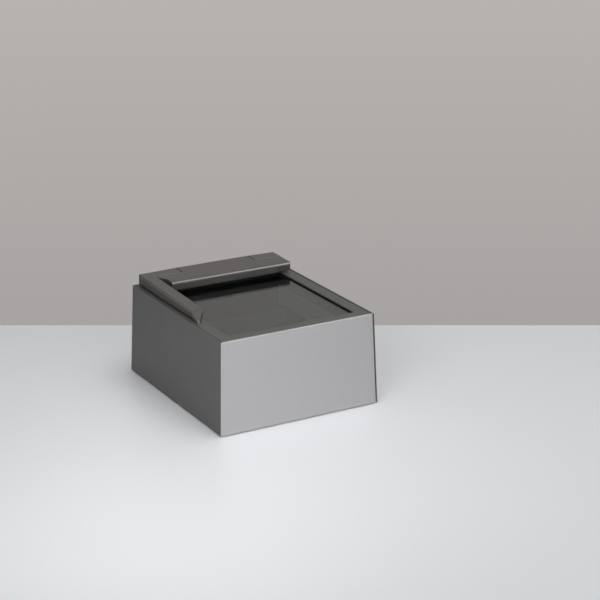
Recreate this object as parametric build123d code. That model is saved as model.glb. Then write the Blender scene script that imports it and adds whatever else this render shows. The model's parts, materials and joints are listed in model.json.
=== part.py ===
from build123d import *
import math
import os

# Passport reader: a box with drafted sides, a silver front and a glass window in its top.
# An L-shaped hood stands behind and to the left of the window and carries a sprung flap
# that holds the open document down. Below the glass a camera looks at the document
# through a fold mirror, between two light boards.
# Millimetres. +X is right, -Y is towards the user, +Z is up.
# The origin is the centre of the footprint, on the table.

# Body
top_width = 160.0
top_depth = 188.4
body_height = 89.1
draft = 2.05
foot_stand = 1.0
wall = 2.5
rim = 1.6
upright_radius = 1.0
pocket_radius = 1.6
seam = 0.3
screw_fit = 0.05
pin_fit = 0.05
overrun = 1.0
beyond = 400.0

# Front panel
panel_return = 3.2
edge_width = 1.5
panel_gap = 0.15
left_margin = 3.4
right_margin = 4.6
margin_fall = 0.5
panel_pilot_depth = 25.0
panel_boss_inset = 20.0
panel_boss_low = 15.5
panel_boss_drop = 16.1
panel_boss_radius = 3.2
panel_boss_length = 4.0
flange_width = 24.0
flange_thickness = 2.0

# Base tray and feet
tray_recess = 0.5
tray_thickness = 3.0
foot_radius = 8.0
foot_sink = 0.8
foot_inset = 19.0
post_inset = 6.8
post_radius = 3.8
rib_thickness = 2.0

# Bezel, glass and gasket
bezel_thickness = 3.0
bezel_gap = 0.7
bezel_edge_bevel = 0.35
window_lip = 1.5
border_side = 14.0
border_front = 13.2
border_rear = 32.2
window_corner = 1.0
window_bevel = 0.4
glass_overlap = 3.0
glass_thickness = 3.0
glass_bevel = 0.3
gasket_thickness = 0.5
gasket_setback = 0.5

# Optics chamber
chamber_inset = 2.0
chamber_wall = 2.0
chamber_clearance = 3.9
chamber_flange = 2.5
chamber_boss_radius = 2.4
chamber_boss_gap = 3.2
chamber_boss_shares = [0.16, 0.43, 0.7, 0.95]
tab_shares = [0.29, 0.57, 0.83]
tab_length = 7.0
tab_width = 7.0
tab_thickness = 2.0

# Mirror and its cradle
mirror_side_gap = 8.0
mirror_thickness = 3.0
mirror_setback = 5.5
mirror_lift = 26.0
mirror_floor_gap = 0.6
cradle_side_gap = 12.0
cradle_back = 2.0
gusset_thickness = 5.0

# Camera
camera_setback = 11.2
camera_drop = 11.6
camera_board_width = 30.0
camera_board_height = 20.0
board_thickness = 1.6
bracket_half_width = 12.0
lens_mount_radius = 7.0
lens_mount_length = 3.5
barrel_radius = 5.5
barrel_length = 8.0
lens_radius = 4.2
lens_thickness = 2.0
lens_setback = 0.8
lens_dome_share = 0.33
sensor_side = 7.0
sensor_height = 1.2

# Lights
light_board_drop = 26.1
light_board_height = 20.0
light_board_end_gap = 9.0
lamp_side = 3.5
lamp_height = 1.2
lamp_count = 9
diffuser_thickness = 1.5
diffuser_gap = 1.2
channel_thickness = 1.5

# Antenna ring and ribbons
antenna_thickness = 1.0
antenna_gap = 0.4
antenna_width = 3.2
ribbon_thickness = 0.3
ribbon_width = 12.0
slot_margin = 0.5
connector_height = 2.6
connector_width = 4.0
connector_margin = 2.0
antenna_ribbon_y = 30.0

# Main board
standoff = 4.0
standoff_radius = 3.0
main_board_side_gap = 11.0
main_board_front_gap = 12.2
main_board_rear_gap = 3.6
board_screw_side_inset = 9.0
board_screw_front_inset = 12.0
board_screw_rear_inset = 6.6
board_screw_share = 0.6
chip_height = 1.8
processor_side = 20.0
memory_width = 10.0
memory_length = 14.0
memory_gap = 6.0
memory_count = 3
driver_side = 8.0
driver_inset = 23.0
capacitor_radius = 4.0
capacitor_height = 11.0
capacitor_edge_radius = 0.5
capacitor_inset = 12.0
capacitor_rear_inset = 14.6
capacitor_pitch = 11.0
capacitor_count = 3

# Sockets at the back
mouth_depth = 1.6
socket_level = 15.0
usb_x = 24.0
usb_width = 12.0
usb_height = 10.9
usb_cavity_width = 8.6
usb_cavity_height = 7.9
usb_length = 17.0
usb_cavity_depth = 12.0
usb_tongue_width = 5.6
usb_tongue_height = 3.2
usb_tongue_length = 7.0
power_x = -6.0
power_width = 9.0
power_height = 11.0
power_length = 14.4
power_bore_radius = 3.2
power_bore_rise = 6.0
power_bore_depth = 10.0
power_pin_radius = 1.0
power_pin_length = 9.5
plate_thickness = 1.0
plate_left = -22.0
plate_right = 40.0
plate_low = 5.2
plate_high = 27.0
plate_border = 6.0
bay_low = 7.6
bay_high = 24.0
socket_gap = 0.3

# Hood
hood_side_inset = 4.5
hood_gap = 2.0
hood_height = 11.7
hood_lean = 1.36
hood_back_radius = 4.2
hood_corner_radius = 5.0
bar_depth = 17.85
arm_width = 12.7
inner_corner_radius = 5.0
cover_thickness = 2.4
cover_edge_radius = 1.2
band_lean = 6.0
cover_lean = 9.0
plinth_inset = 3.0
plinth_arm_width = 5.4
plinth_bar_front = 3.0
slab_thickness = 0.9

# Tip of the hood's arm
tip_setback = 56.4
tip_skew = 53.4
tip_length = 8.5
tip_ridge_lead = 2.4
tip_fall = 27.7
tip_roll = 12.4
tip_point_lead = 11.9
tip_point_fall = 37.0
tip_heel = 3.6
tip_joint = 0.15

# Flap
slot_width = 6.1
flap_end_inset = 0.9
flap_depth = 41.6
flap_lift = 0.5
flap_skin = 2.2
flap_rim = 2.2
nose_radius = 3.0
nose_lean = 14.0
nose_wall = 3.4
flap_corner_radius = 3.0
flap_end_radius = 1.0
flare_width = 5.7
flare_length = 12.75
flare_bend_share = 0.28
flare_run_share = 0.6
tongue_left_inset = 41.5
tongue_right_inset = 30.0
tongue_skin = 2.8
tongue_gap = 0.8
flap_opening = 35.0
hinge_swing_gap = 0.35
hinge_swing_lead = 10.0
flap_rib_thickness = 3.0
flap_rib_inset = 14.0
bumper_radius = 2.5
bumper_height = 1.5
bumper_gap = 0.6
pad_gap = 0.3
pad_lift = 0.5

# Hinge pins and springs
pin_radius = 1.5
pin_bevel = 0.3
pin_in_hood = 10.0
knuckle_width = 6.0
spring_slot = 5.0
spring_wire_radius = 0.35
spring_coil_radius = 2.6
spring_coil_length = 4.2
spring_leg_inset = 0.6
spring_cavity_radius = 3.3
spring_cavity_rise = 1.0
spring_leg_depth = 0.6
spring_leg_rise = 1.6

# Screws
screw_radius = 1.25
screw_head_radius = 2.3
screw_head_height = 1.6
small_radius = 1.0
small_head_radius = 1.9
small_head_height = 1.3
base_screw_length = 12.0
bezel_screw_grip = 1.8
hood_screw_length = 6.4
slab_screw_length = 5.2
cover_screw_length = 8.4
cover_screw_sink = 1.8
board_screw_length = 4.5
socket_drive_radius = 0.8
socket_drive_depth = 0.7

# Worked out from the above
window_half_width = top_width / 2 - border_side
window_front = border_front - top_depth / 2
window_rear = top_depth / 2 - border_rear
hood_half_width = top_width / 2 - hood_side_inset
hood_top_rear = body_height + hood_height
main_board_half_width = top_width / 2 - main_board_side_gap
main_board_front = main_board_front_gap - top_depth / 2
main_board_rear = top_depth / 2 - main_board_rear_gap
tray_bottom = foot_stand + tray_recess
tray_top = tray_bottom + tray_thickness
bezel_bottom = body_height - bezel_thickness
glass_top = body_height - window_lip - gasket_thickness
glass_bottom = glass_top - glass_thickness
hood_bottom = body_height + hood_gap
hood_rear = top_depth / 2
bar_front = hood_rear - bar_depth
arm_inner = arm_width - hood_half_width
lean_rise = math.tan(math.radians(hood_lean))
hinge_y = hood_rear - hood_back_radius
hinge_z = hood_top_rear - hood_back_radius - hood_back_radius * lean_rise
slab_top = hood_bottom + slab_thickness
flap_bottom = hood_bottom + flap_lift
flap_left = arm_inner + slot_width
flap_right = hood_half_width - flap_end_inset
flap_nose_y = hood_rear - flap_depth
lip_rear = bar_front - seam
flare_x = flap_left - flare_width
flare_y = bar_front - inner_corner_radius
tongue_left = tongue_left_inset - hood_half_width
tongue_right = hood_half_width - tongue_right_inset
bumper_y = bar_front + bumper_radius + bumper_gap
tip_inner_y = window_front + tip_setback
tip_ridge_y = tip_inner_y - tip_ridge_lead
tip_point_y = tip_inner_y - tip_point_lead
board_bottom = tray_top + standoff
board_top = board_bottom + board_thickness
chamber_half_width = window_half_width - chamber_inset
chamber_front = window_front + chamber_inset
chamber_rear = window_rear - chamber_inset
chamber_bottom = board_top + chamber_clearance
window_middle = (window_front + window_rear) / 2
light_board_low = glass_bottom - light_board_drop
light_board_front = chamber_front + light_board_end_gap
light_board_rear = chamber_rear - light_board_end_gap


def half_width(z):
    return top_width / 2 + (body_height - z) * math.tan(math.radians(draft))


def half_depth(z):
    return top_depth / 2 + (body_height - z) * math.tan(math.radians(draft))


def hood_top(y):
    return hood_top_rear - (hood_rear - y) * lean_rise


def block(x0, x1, y0, y1, z0, z1):
    size = Box(x1 - x0, y1 - y0, z1 - z0, align=(Align.MIN, Align.MIN, Align.MIN))
    return Pos(x0, y0, z0) * size


def wall_block(x0, x1, y0, y1, z0, z1):
    """A block whose two x values may come in either order."""
    return block(min(x0, x1), max(x0, x1), y0, y1, z0, z1)


def tapered(z0, z1, left=0, right=0, front=0, rear=0):
    """The body's drafted outline between two heights, each side moved in by its inset."""
    x0 = left - half_width(z0)
    x1 = half_width(z0) - right
    y0 = front - half_depth(z0)
    y1 = half_depth(z0) - rear
    section = Pos((x0 + x1) / 2, (y0 + y1) / 2, z0) * Rectangle(x1 - x0, y1 - y0)
    return extrude(section, amount=z1 - z0, taper=draft)


def upright_edges(solid):
    low = solid.bounding_box().min.Z
    high = solid.bounding_box().max.Z
    return [e for e in solid.edges() if e.bounding_box().size.Z > (high - low) / 2]


def rounded_body(z0, z1, inset, radius):
    core = tapered(z0, z1, inset, inset, inset, inset)
    return fillet(upright_edges(core), radius)


def side_of(origin, normal):
    """Everything on the side of a plane that its normal points to."""
    half = Box(beyond, beyond, beyond, align=(Align.CENTER, Align.CENTER, Align.MIN))
    return Plane(origin=origin, z_dir=normal) * half


def rod(radius, start, direction, length):
    plane = Plane(origin=start, z_dir=direction)
    bar = Cylinder(radius, length, align=(Align.CENTER, Align.CENTER, Align.MIN))
    return plane * bar


def along_x(radius, x0, x1):
    """A cylinder about the hinge axis."""
    return rod(radius, (x0, hinge_y, hinge_z), (1, 0, 0), x1 - x0)


def pan_screw(x, y, z, up, length, radius, head_radius, head_height):
    """A pan screw whose head bears at height z. up is 1 where the shank points up."""
    shank = rod(radius, (x, y, z), (0, 0, up), length)
    head = rod(head_radius, (x, y, z), (0, 0, -up), head_height)
    drive_start = (x, y, z - up * head_height)
    drive = rod(socket_drive_radius, drive_start, (0, 0, up), socket_drive_depth)
    return shank + head - drive


def large_screw(x, y, z, up, length):
    return pan_screw(x, y, z, up, length, screw_radius, screw_head_radius, screw_head_height)


def small_screw(x, y, z, up, length):
    return pan_screw(x, y, z, up, length, small_radius, small_head_radius, small_head_height)


def hole(x, y, z0, z1, radius):
    return rod(radius, (x, y, z0), (0, 0, 1), z1 - z0)


def both_ways(x, places):
    return [(side * x, y) for side in (-1, 1) for y in places]


def frame_ring(half_x, y0, y1, width, z0, z1):
    """A flat rectangular ring, width wide, whose outer edge is given."""
    outer = block(-half_x, half_x, y0, y1, z0, z1)
    inner_x = half_x - width
    return outer - block(-inner_x, inner_x, y0 + width, y1 - width, z0 - overrun, z1 + overrun)


# Body shells

post_x = top_width / 2 - post_inset
post_y = top_depth / 2 - post_inset
post_places = both_ways(post_x, [-post_y, post_y])
flange_inner_x = top_width / 2 - flange_width
tab_x = top_width / 2 - wall - tab_width / 2
rear_tab_y = top_depth / 2 - wall - tab_width / 2
hood_screw_y = (bar_front + hood_rear) / 2
block_screws = [
    (-hood_half_width + bar_depth + plinth_inset, hood_screw_y),
    (hood_half_width - bar_depth, hood_screw_y),
]
slab_screws = [(tongue_left + bar_depth, hood_screw_y), (tongue_right - bar_depth, hood_screw_y)]


def along_window(shares):
    return [window_front + share * (window_rear - window_front) for share in shares]


def rear_tabs():
    """A tab between each of the hood's outer screws and the inner one next to it."""
    return [((outer[0] + inner[0]) / 2, rear_tab_y) for outer, inner in zip(block_screws, slab_screws)]


tab_screws = both_ways(tab_x, along_window(tab_shares)) + rear_tabs()


def make_front_panel():
    """The silver front, set between the front ends of the side walls."""
    side_inset = edge_width + panel_gap
    outer = tapered(foot_stand, body_height, side_inset, side_inset)
    outer = outer - margin_cut(-1, left_margin) - margin_cut(1, right_margin)
    z0 = foot_stand - overrun
    z1 = body_height + overrun
    behind = tapered(z0, z1, -overrun, -overrun, panel_return, -overrun)
    hollow = tapered(z0, z1, wall, wall, wall, -overrun)
    panel = outer - behind - hollow - bezel_pocket()
    for x, z in panel_boss_places():
        boss = rod(panel_boss_radius, (x, -half_depth(z), z), (0, 1, 0), 2 * wall + panel_boss_length)
        panel = panel + (boss & front_layer(wall / 2, wall + panel_boss_length))
    for x, z in panel_boss_places():
        start = (x, wall - half_depth(z), z)
        panel = panel - rod(screw_radius + screw_fit, start, (0, 1, 0), panel_boss_length + overrun)
    return panel


def margin_cut(side, width):
    """What leans the panel's face back beside one of its upright edges."""
    run = math.tan(math.radians(draft))
    inset = edge_width + panel_gap + width
    origin = (side * (top_width / 2 - inset), -top_depth / 2, body_height)
    across = Vector(side * width, margin_fall, 0)
    normal = across.cross(Vector(-side * run, run, 1)) * side
    return side_of(origin, tuple(normal))


def panel_boss_places():
    x = top_width / 2 - panel_boss_inset
    return both_ways(x, [tray_top + panel_boss_low, bezel_bottom - panel_boss_drop])


def bezel_pocket():
    z1 = body_height + overrun
    return rounded_body(bezel_bottom, z1, rim, pocket_radius)


def front_layer(near, far):
    """A drafted slab between two depths behind the front face, inside the side walls."""
    z0 = tray_top
    z1 = bezel_bottom - tab_thickness - tab_width
    slab = tapered(z0, z1, wall / 2, wall / 2, near, 0)
    return slab - tapered(z0 - overrun, z1 + overrun, 0, 0, far, -overrun)


def make_side_housing():
    z0 = foot_stand - overrun
    z1 = body_height + overrun
    outer = rounded_body(foot_stand, body_height, 0, upright_radius)
    recess = tapered(z0, z1, edge_width, edge_width, -overrun, -overrun)
    recess = recess - tapered(z0, z1, -overrun, -overrun, panel_return + seam, -overrun)
    shell = outer - recess - tapered(z0, z1, wall, wall, -overrun, wall)
    shell = shell - bezel_pocket()
    for side in (-1, 1):
        window = wall_block(side * flange_inner_x, side * half_width(foot_stand), -beyond, 0, z0, z1)
        near = wall + panel_boss_length
        shell = shell + (front_layer(near, near + flange_thickness) & window)
    for x, y in post_places:
        web_outer = math.copysign(half_width(tray_top) - wall / 2, x)
        half_rib = rib_thickness / 2
        web = wall_block(x, web_outer, y - half_rib, y + half_rib, tray_top, bezel_bottom)
        web = web & tapered(tray_top, bezel_bottom, wall / 2, wall / 2)
        shell = shell + web + hole(x, y, tray_top, bezel_bottom, post_radius)
    for x, y in tab_screws:
        shell = shell + tab_block(x, y)
    tab_bottom = bezel_bottom - tab_thickness
    for x, y in tab_screws:
        shell = shell - hole(x, y, tab_bottom - overrun, bezel_bottom + overrun, small_radius + screw_fit)
    for x, y in post_places:
        pilot = hole(x, y, tray_top - overrun, tray_top + base_screw_length, screw_radius + screw_fit)
        shell = shell - pilot
    for x, z in panel_boss_places():
        start = (x, -half_depth(foot_stand), z)
        shell = shell - rod(screw_radius + screw_fit, start, (0, 1, 0), panel_return + panel_pilot_depth)
    bay = block(plate_left + plate_border, plate_right - plate_border, 0, beyond, bay_low, bay_high)
    shell = shell - (bay - block(-beyond, beyond, 0, hood_rear - wall - flange_width, z0, z1))
    for x in plate_screw_places():
        shell = shell - plate_screw_hole(x)
    return shell


def tab_block(x, y):
    """A tab that the bezel's screws pull up against, tied into the nearest wall."""
    low = bezel_bottom - tab_thickness
    half = tab_length / 2
    if abs(x) > abs(y):
        outer = math.copysign(half_width(bezel_bottom) - wall / 2, x)
        inner = x - math.copysign(tab_width / 2, x)
        return wall_block(inner, outer, y - half, y + half, low, bezel_bottom)
    outer = half_depth(bezel_bottom) - wall / 2
    return block(x - half, x + half, y - tab_width / 2, outer, low, bezel_bottom)


def make_base_tray():
    z0 = tray_bottom
    inset = wall + seam
    tray = tapered(z0, tray_top, inset, inset, inset, inset)
    for x, y in foot_places():
        tray = tray - hole(x, y, z0 - overrun, z0 + foot_sink, foot_radius + seam)
    for x, y in post_places:
        tray = tray - hole(x, y, z0 - overrun, tray_top + overrun, screw_radius + screw_fit)
        tray = tray - hole(x, y, z0 - overrun, z0 + screw_head_height + seam, screw_head_radius + seam)
    for x, y in board_screws:
        tray = tray + hole(x, y, tray_top, board_bottom, standoff_radius)
        depth = board_screw_length - board_thickness
        tray = tray - hole(x, y, board_bottom - depth, board_bottom + overrun, small_radius + screw_fit)
    return tray


def foot_places():
    x = half_width(foot_stand) - foot_inset
    y = half_depth(foot_stand) - foot_inset
    return both_ways(x, [-y, y])


def make_feet():
    height = tray_bottom + foot_sink
    foot = Cylinder(foot_radius, height, align=(Align.CENTER, Align.CENTER, Align.MIN))
    foot = chamfer(foot.edges().group_by(Axis.Z)[0], foot_sink / 2)
    return [Pos(x, y, 0) * foot for x, y in foot_places()]


def make_base_screws():
    z = tray_bottom + screw_head_height + seam
    length = base_screw_length - overrun
    return [large_screw(x, y, z, 1, length) for x, y in post_places]


def make_panel_screws():
    screws = []
    for x, z in panel_boss_places():
        bearing = wall + panel_boss_length + flange_thickness - half_depth(z)
        lean = math.tan(math.radians(draft))
        seat = bearing + screw_head_radius * lean
        shank = rod(screw_radius, (x, seat, z), (0, -1, 0), flange_thickness + panel_boss_length - overrun)
        head = rod(screw_head_radius, (x, seat, z), (0, 1, 0), screw_head_height)
        screws.append(shank + head)
    return screws


# Bezel, glass and gasket

board_screw_places = [
    main_board_front + board_screw_front_inset,
    main_board_front + board_screw_share * (main_board_rear - main_board_front),
    main_board_rear - board_screw_rear_inset,
]
board_screws = both_ways(main_board_half_width - board_screw_side_inset, board_screw_places)
chamber_boss_x = window_half_width + glass_overlap + chamber_boss_gap
chamber_bosses = both_ways(chamber_boss_x, along_window(chamber_boss_shares))


def window_block(grow, z0, z1, radius):
    half_x = window_half_width + grow
    y0 = window_front - grow
    y1 = window_rear + grow
    section = Pos(0, window_middle, z0) * RectangleRounded(2 * half_x, y1 - y0, radius)
    return extrude(section, amount=z1 - z0)


def make_bezel():
    plate = rounded_body(bezel_bottom, body_height, rim + bezel_gap, pocket_radius - bezel_gap)
    plate = chamfer(plate.faces().sort_by(Axis.Z)[-1].edges(), bezel_edge_bevel)
    plate = plate - window_block(0, bezel_bottom - overrun, body_height + overrun, window_corner)
    plate = chamfer(plate.faces().sort_by(Axis.Z)[-1].inner_wires()[0].edges(), window_bevel)
    pocket_grow = glass_overlap + seam
    below = bezel_bottom - overrun
    plate = plate - window_block(pocket_grow, below, body_height - window_lip, window_corner)
    for x, y in tab_screws + chamber_bosses:
        plate = plate - hole(x, y, below, bezel_bottom + bezel_screw_grip, small_radius + screw_fit)
    for x, y in block_screws + slab_screws:
        plate = plate - hole(x, y, below, body_height + overrun, screw_radius + screw_fit)
    return plate


def make_bezel_screws():
    z = bezel_bottom - tab_thickness
    length = tab_thickness + bezel_screw_grip - seam
    return [small_screw(x, y, z, 1, length) for x, y in tab_screws]


def make_gasket():
    z0 = glass_top
    z1 = body_height - window_lip
    ring = window_block(glass_overlap, z0, z1, window_corner)
    return ring - window_block(gasket_setback, z0 - overrun, z1 + overrun, window_corner)


def make_glass():
    glass = window_block(glass_overlap, glass_bottom, glass_top, window_corner)
    rim_edges = glass.faces().sort_by(Axis.Z)[-1].edges() + glass.faces().sort_by(Axis.Z)[0].edges()
    return chamfer(rim_edges, glass_bevel)


# Optics chamber and what it holds

mirror_y = window_middle - mirror_setback
mirror_z = chamber_bottom + chamber_wall + mirror_lift
camera_y = chamber_front + camera_setback
camera_z = glass_bottom - camera_drop
sight_angle = math.atan2(mirror_y - camera_y, camera_z - mirror_z)
sight = (0, math.sin(sight_angle), -math.cos(sight_angle))
mirror_rise = math.sin(sight_angle / 2)
mirror_run = math.cos(sight_angle / 2)
mirror_fall = mirror_lift - mirror_floor_gap - (mirror_thickness + cradle_back) * mirror_run
mirror_length = 2 * mirror_fall / mirror_rise
mirror_half_width = chamber_half_width - mirror_side_gap
cradle_half_width = mirror_half_width - cradle_side_gap
mirror_plane = Plane(origin=(0, mirror_y, mirror_z), x_dir=(1, 0, 0), z_dir=(0, -mirror_rise, mirror_run))
camera_plane = Plane(origin=(0, camera_y, camera_z), x_dir=(1, 0, 0), z_dir=sight)
channel_reach = board_thickness + lamp_height + diffuser_gap + diffuser_thickness
light_ribbon_x = chamber_half_width - ribbon_thickness
camera_ribbon_y = chamber_front + ribbon_thickness
antenna_ribbon_x = chamber_half_width + chamber_wall + overrun


def make_chamber():
    flange_bottom = glass_bottom - chamber_flange
    flange = window_block(glass_overlap, flange_bottom, glass_bottom, window_corner)
    outer = block(
        -chamber_half_width - chamber_wall,
        chamber_half_width + chamber_wall,
        chamber_front - chamber_wall,
        chamber_rear + chamber_wall,
        chamber_bottom,
        glass_bottom,
    )
    inner = block(
        -chamber_half_width,
        chamber_half_width,
        chamber_front,
        chamber_rear,
        chamber_bottom + chamber_wall,
        glass_bottom + overrun,
    )
    tub = flange + outer - inner
    reach = chamber_boss_radius
    for x, y in chamber_bosses:
        tie_inner = x - math.copysign(2 * chamber_boss_gap, x)
        tie = wall_block(x, tie_inner, y - reach, y + reach, flange_bottom, glass_bottom)
        tub = tub + (tie - inner) + hole(x, y, flange_bottom, bezel_bottom, chamber_boss_radius)
    for x, y in chamber_bosses:
        tub = tub - hole(x, y, flange_bottom - overrun, bezel_bottom + overrun, small_radius + screw_fit)
    floor_z0 = chamber_bottom - overrun
    floor_z1 = chamber_bottom + chamber_wall + overrun
    channel_z0 = light_board_low - channel_thickness - overrun
    for side in (-1, 1):
        for z in (light_board_low - channel_thickness, light_board_low + light_board_height):
            z1 = z + channel_thickness
            depths = (channel_reach, -chamber_wall / 2)
            tub = tub + on_side(side, *depths, light_board_front, light_board_rear, z, z1)
        x = side * light_ribbon_x
        tub = tub - ribbon_slot(x, 0, ribbon_thickness, ribbon_width, floor_z0, floor_z1)
        tub = tub - ribbon_slot(x, 0, ribbon_thickness, ribbon_width, channel_z0, light_board_low)
    tub = tub - ribbon_slot(0, camera_ribbon_y, ribbon_width, ribbon_thickness, floor_z0, floor_z1)
    for x in (-bracket_half_width / 2, bracket_half_width / 2):
        start = (x, chamber_front - chamber_wall - overrun, bracket_screw_z())
        tub = tub - rod(small_radius + screw_fit, start, (0, 1, 0), chamber_wall + 2 * overrun)
    return tub


def ribbon_slot(x, y, width_x, width_y, z0, z1):
    half_x = width_x / 2 + slot_margin
    half_y = width_y / 2 + slot_margin
    return block(x - half_x, x + half_x, y - half_y, y + half_y, z0, z1)


def make_chamber_screws():
    z = glass_bottom - chamber_flange
    length = bezel_bottom - z + bezel_screw_grip - seam
    return [small_screw(x, y, z, 1, length) for x, y in chamber_bosses]


def make_mirror():
    hang = (Align.CENTER, Align.CENTER, Align.MAX)
    return mirror_plane * Box(2 * mirror_half_width, mirror_length, mirror_thickness, align=hang)


def make_cradle():
    hang = (Align.CENTER, Align.CENTER, Align.MAX)
    back = Box(2 * cradle_half_width, mirror_length, cradle_back, align=hang)
    back = mirror_plane * (Pos(0, 0, -mirror_thickness) * back)
    floor_z = chamber_bottom + chamber_wall
    under = block(-beyond, beyond, chamber_front, chamber_rear, floor_z, body_height)
    middle = mirror_plane.from_local_coords((0, 0, -mirror_thickness - cradle_back / 2))
    below_back = side_of(tuple(middle), (0, mirror_rise, -mirror_run))
    reach = mirror_length / 2 * mirror_run - mirror_thickness
    cradle = back
    for side in (-1, 1):
        x0 = side * cradle_half_width
        x1 = side * (cradle_half_width - gusset_thickness)
        web = wall_block(x0, x1, mirror_y - reach, mirror_y + reach, floor_z, body_height)
        cradle = cradle + (web & below_back & under)
    return cradle


def bracket_profile():
    """Corners of the wedge that tilts the camera, as pairs of y and z."""
    back_y = camera_y - board_thickness * math.sin(sight_angle)
    back_z = camera_z + board_thickness * math.cos(sight_angle)
    half = camera_board_height / 2
    top = (back_y + half * math.cos(sight_angle), back_z + half * math.sin(sight_angle))
    low = (back_y - half * math.cos(sight_angle), back_z - half * math.sin(sight_angle))
    return [(chamber_front, top[1]), top, low, (chamber_front, low[1])]


def bracket_screw_z():
    corners = bracket_profile()
    return (corners[0][1] + corners[3][1]) / 2


def make_camera_bracket():
    outline = Polyline([(0, y, z) for y, z in bracket_profile()], close=True)
    wedge = extrude(make_face(outline), amount=bracket_half_width, both=True)
    for x in (-bracket_half_width / 2, bracket_half_width / 2):
        start = (x, chamber_front - overrun, bracket_screw_z())
        wedge = wedge - rod(small_radius + screw_fit, start, (0, 1, 0), board_screw_length + overrun)
    return wedge


def make_bracket_screws():
    screws = []
    for x in (-bracket_half_width / 2, bracket_half_width / 2):
        seat = (x, chamber_front - chamber_wall, bracket_screw_z())
        shank = rod(small_radius, seat, (0, 1, 0), board_screw_length)
        screws.append(shank + rod(small_head_radius, seat, (0, -1, 0), small_head_height))
    return screws


def make_camera_board():
    hang = (Align.CENTER, Align.CENTER, Align.MAX)
    return camera_plane * Box(camera_board_width, camera_board_height, board_thickness, align=hang)


def make_image_sensor():
    sensor = Box(sensor_side, sensor_side, sensor_height, align=(Align.CENTER, Align.CENTER, Align.MIN))
    return camera_plane * sensor


def make_lens_barrel():
    low = (Align.CENTER, Align.CENTER, Align.MIN)
    mount = Cylinder(lens_mount_radius, lens_mount_length, align=low)
    barrel = Pos(0, 0, lens_mount_length) * Cylinder(barrel_radius, barrel_length, align=low)
    total = lens_mount_length + barrel_length
    bore = Cylinder(lens_radius - lens_setback, total + overrun, align=low)
    well = Box(sensor_side + seam, sensor_side + seam, 2 * sensor_height, align=low)
    seat_z = total - lens_setback - lens_thickness
    seat = Pos(0, 0, seat_z) * Cylinder(lens_radius + screw_fit, lens_thickness + overrun, align=low)
    return camera_plane * (mount + barrel - bore - well - seat)


def make_camera_lens():
    lens_z = lens_mount_length + barrel_length - lens_setback - lens_thickness
    lens = Cylinder(lens_radius, lens_thickness, align=(Align.CENTER, Align.CENTER, Align.MIN))
    lens = fillet(lens.edges().group_by(Axis.Z)[-1], lens_dome_share * lens_thickness)
    return camera_plane * (Pos(0, 0, lens_z) * lens)


def on_side(side, depth0, depth1, y0, y1, z0, z1):
    """A block on a side wall of the chamber, from one depth off the wall to another."""
    x0 = side * (chamber_half_width - depth0)
    x1 = side * (chamber_half_width - depth1)
    return wall_block(x0, x1, y0, y1, z0, z1)


def light_layers(depth0, depth1):
    """One layer of both light panels, between two depths off the walls."""
    ends = (light_board_front, light_board_rear)
    heights = (light_board_low, light_board_low + light_board_height)
    return [on_side(side, depth0, depth1, *ends, *heights) for side in (-1, 1)]


def make_light_boards():
    return light_layers(0, board_thickness)


def make_lamps():
    lamps = []
    pitch = (light_board_rear - light_board_front) / lamp_count
    z = light_board_low + light_board_height / 2 - lamp_side / 2
    for side in (-1, 1):
        for i in range(lamp_count):
            y = light_board_front + (i + 0.5) * pitch - lamp_side / 2
            depth = board_thickness + lamp_height
            lamps.append(on_side(side, board_thickness, depth, y, y + lamp_side, z, z + lamp_side))
    return lamps


def make_diffusers():
    depth = board_thickness + lamp_height + diffuser_gap
    return light_layers(depth, depth + diffuser_thickness)


def make_antenna():
    z1 = glass_bottom - chamber_flange
    half_x = chamber_half_width + chamber_wall + antenna_gap + antenna_width
    y0 = chamber_front - chamber_wall - antenna_gap - antenna_width
    y1 = chamber_rear + chamber_wall + antenna_gap + antenna_width
    return frame_ring(half_x, y0, y1, antenna_width, z1 - antenna_thickness, z1)


def connector_top():
    return board_top + connector_height


def make_antenna_ribbon():
    x0 = antenna_ribbon_x
    z1 = glass_bottom - chamber_flange - antenna_thickness
    y0 = antenna_ribbon_y - ribbon_width / 2
    return block(x0, x0 + ribbon_thickness, y0, y0 + ribbon_width, connector_top(), z1)


def make_light_ribbons():
    half = ribbon_width / 2
    ribbons = []
    for side in (-1, 1):
        x = side * light_ribbon_x
        x0 = x - ribbon_thickness / 2
        ribbons.append(block(x0, x0 + ribbon_thickness, -half, half, connector_top(), light_board_low))
    return ribbons


def make_camera_ribbon():
    z1 = bracket_profile()[3][1]
    y0 = camera_ribbon_y - ribbon_thickness / 2
    return block(-ribbon_width / 2, ribbon_width / 2, y0, y0 + ribbon_thickness, connector_top(), z1)


# Main board and sockets


def make_main_board():
    half = main_board_half_width
    board = block(-half, half, main_board_front, main_board_rear, board_bottom, board_top)
    for x, y in board_screws:
        board = board - hole(x, y, board_bottom - overrun, board_top + overrun, small_radius + screw_fit)
    return board


def make_board_screws():
    length = board_screw_length - seam
    return [small_screw(x, y, board_top, -1, length) for x, y in board_screws]


def chip(x, y, width, length):
    z1 = board_top + chip_height
    return block(x - width / 2, x + width / 2, y - length / 2, y + length / 2, board_top, z1)


def make_board_chips():
    chips = [chip(0, window_middle, processor_side, processor_side)]
    pitch = memory_width + memory_gap
    for i in range(memory_count):
        x = (i - (memory_count - 1) / 2) * pitch
        chips.append(chip(x, window_middle + processor_side + memory_gap, memory_width, memory_length))
    for side in (-1, 1):
        x = side * (main_board_half_width - driver_inset)
        chips.append(chip(x, window_middle, driver_side, driver_side))
    return chips


def make_capacitors():
    cans = []
    for i in range(capacitor_count):
        x = capacitor_inset + i * capacitor_pitch - main_board_half_width
        y = main_board_rear - capacitor_rear_inset
        can = hole(x, y, board_top, board_top + capacitor_height, capacitor_radius)
        cans.append(fillet(can.edges().group_by(Axis.Z)[-1], capacitor_edge_radius))
    return cans


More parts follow.
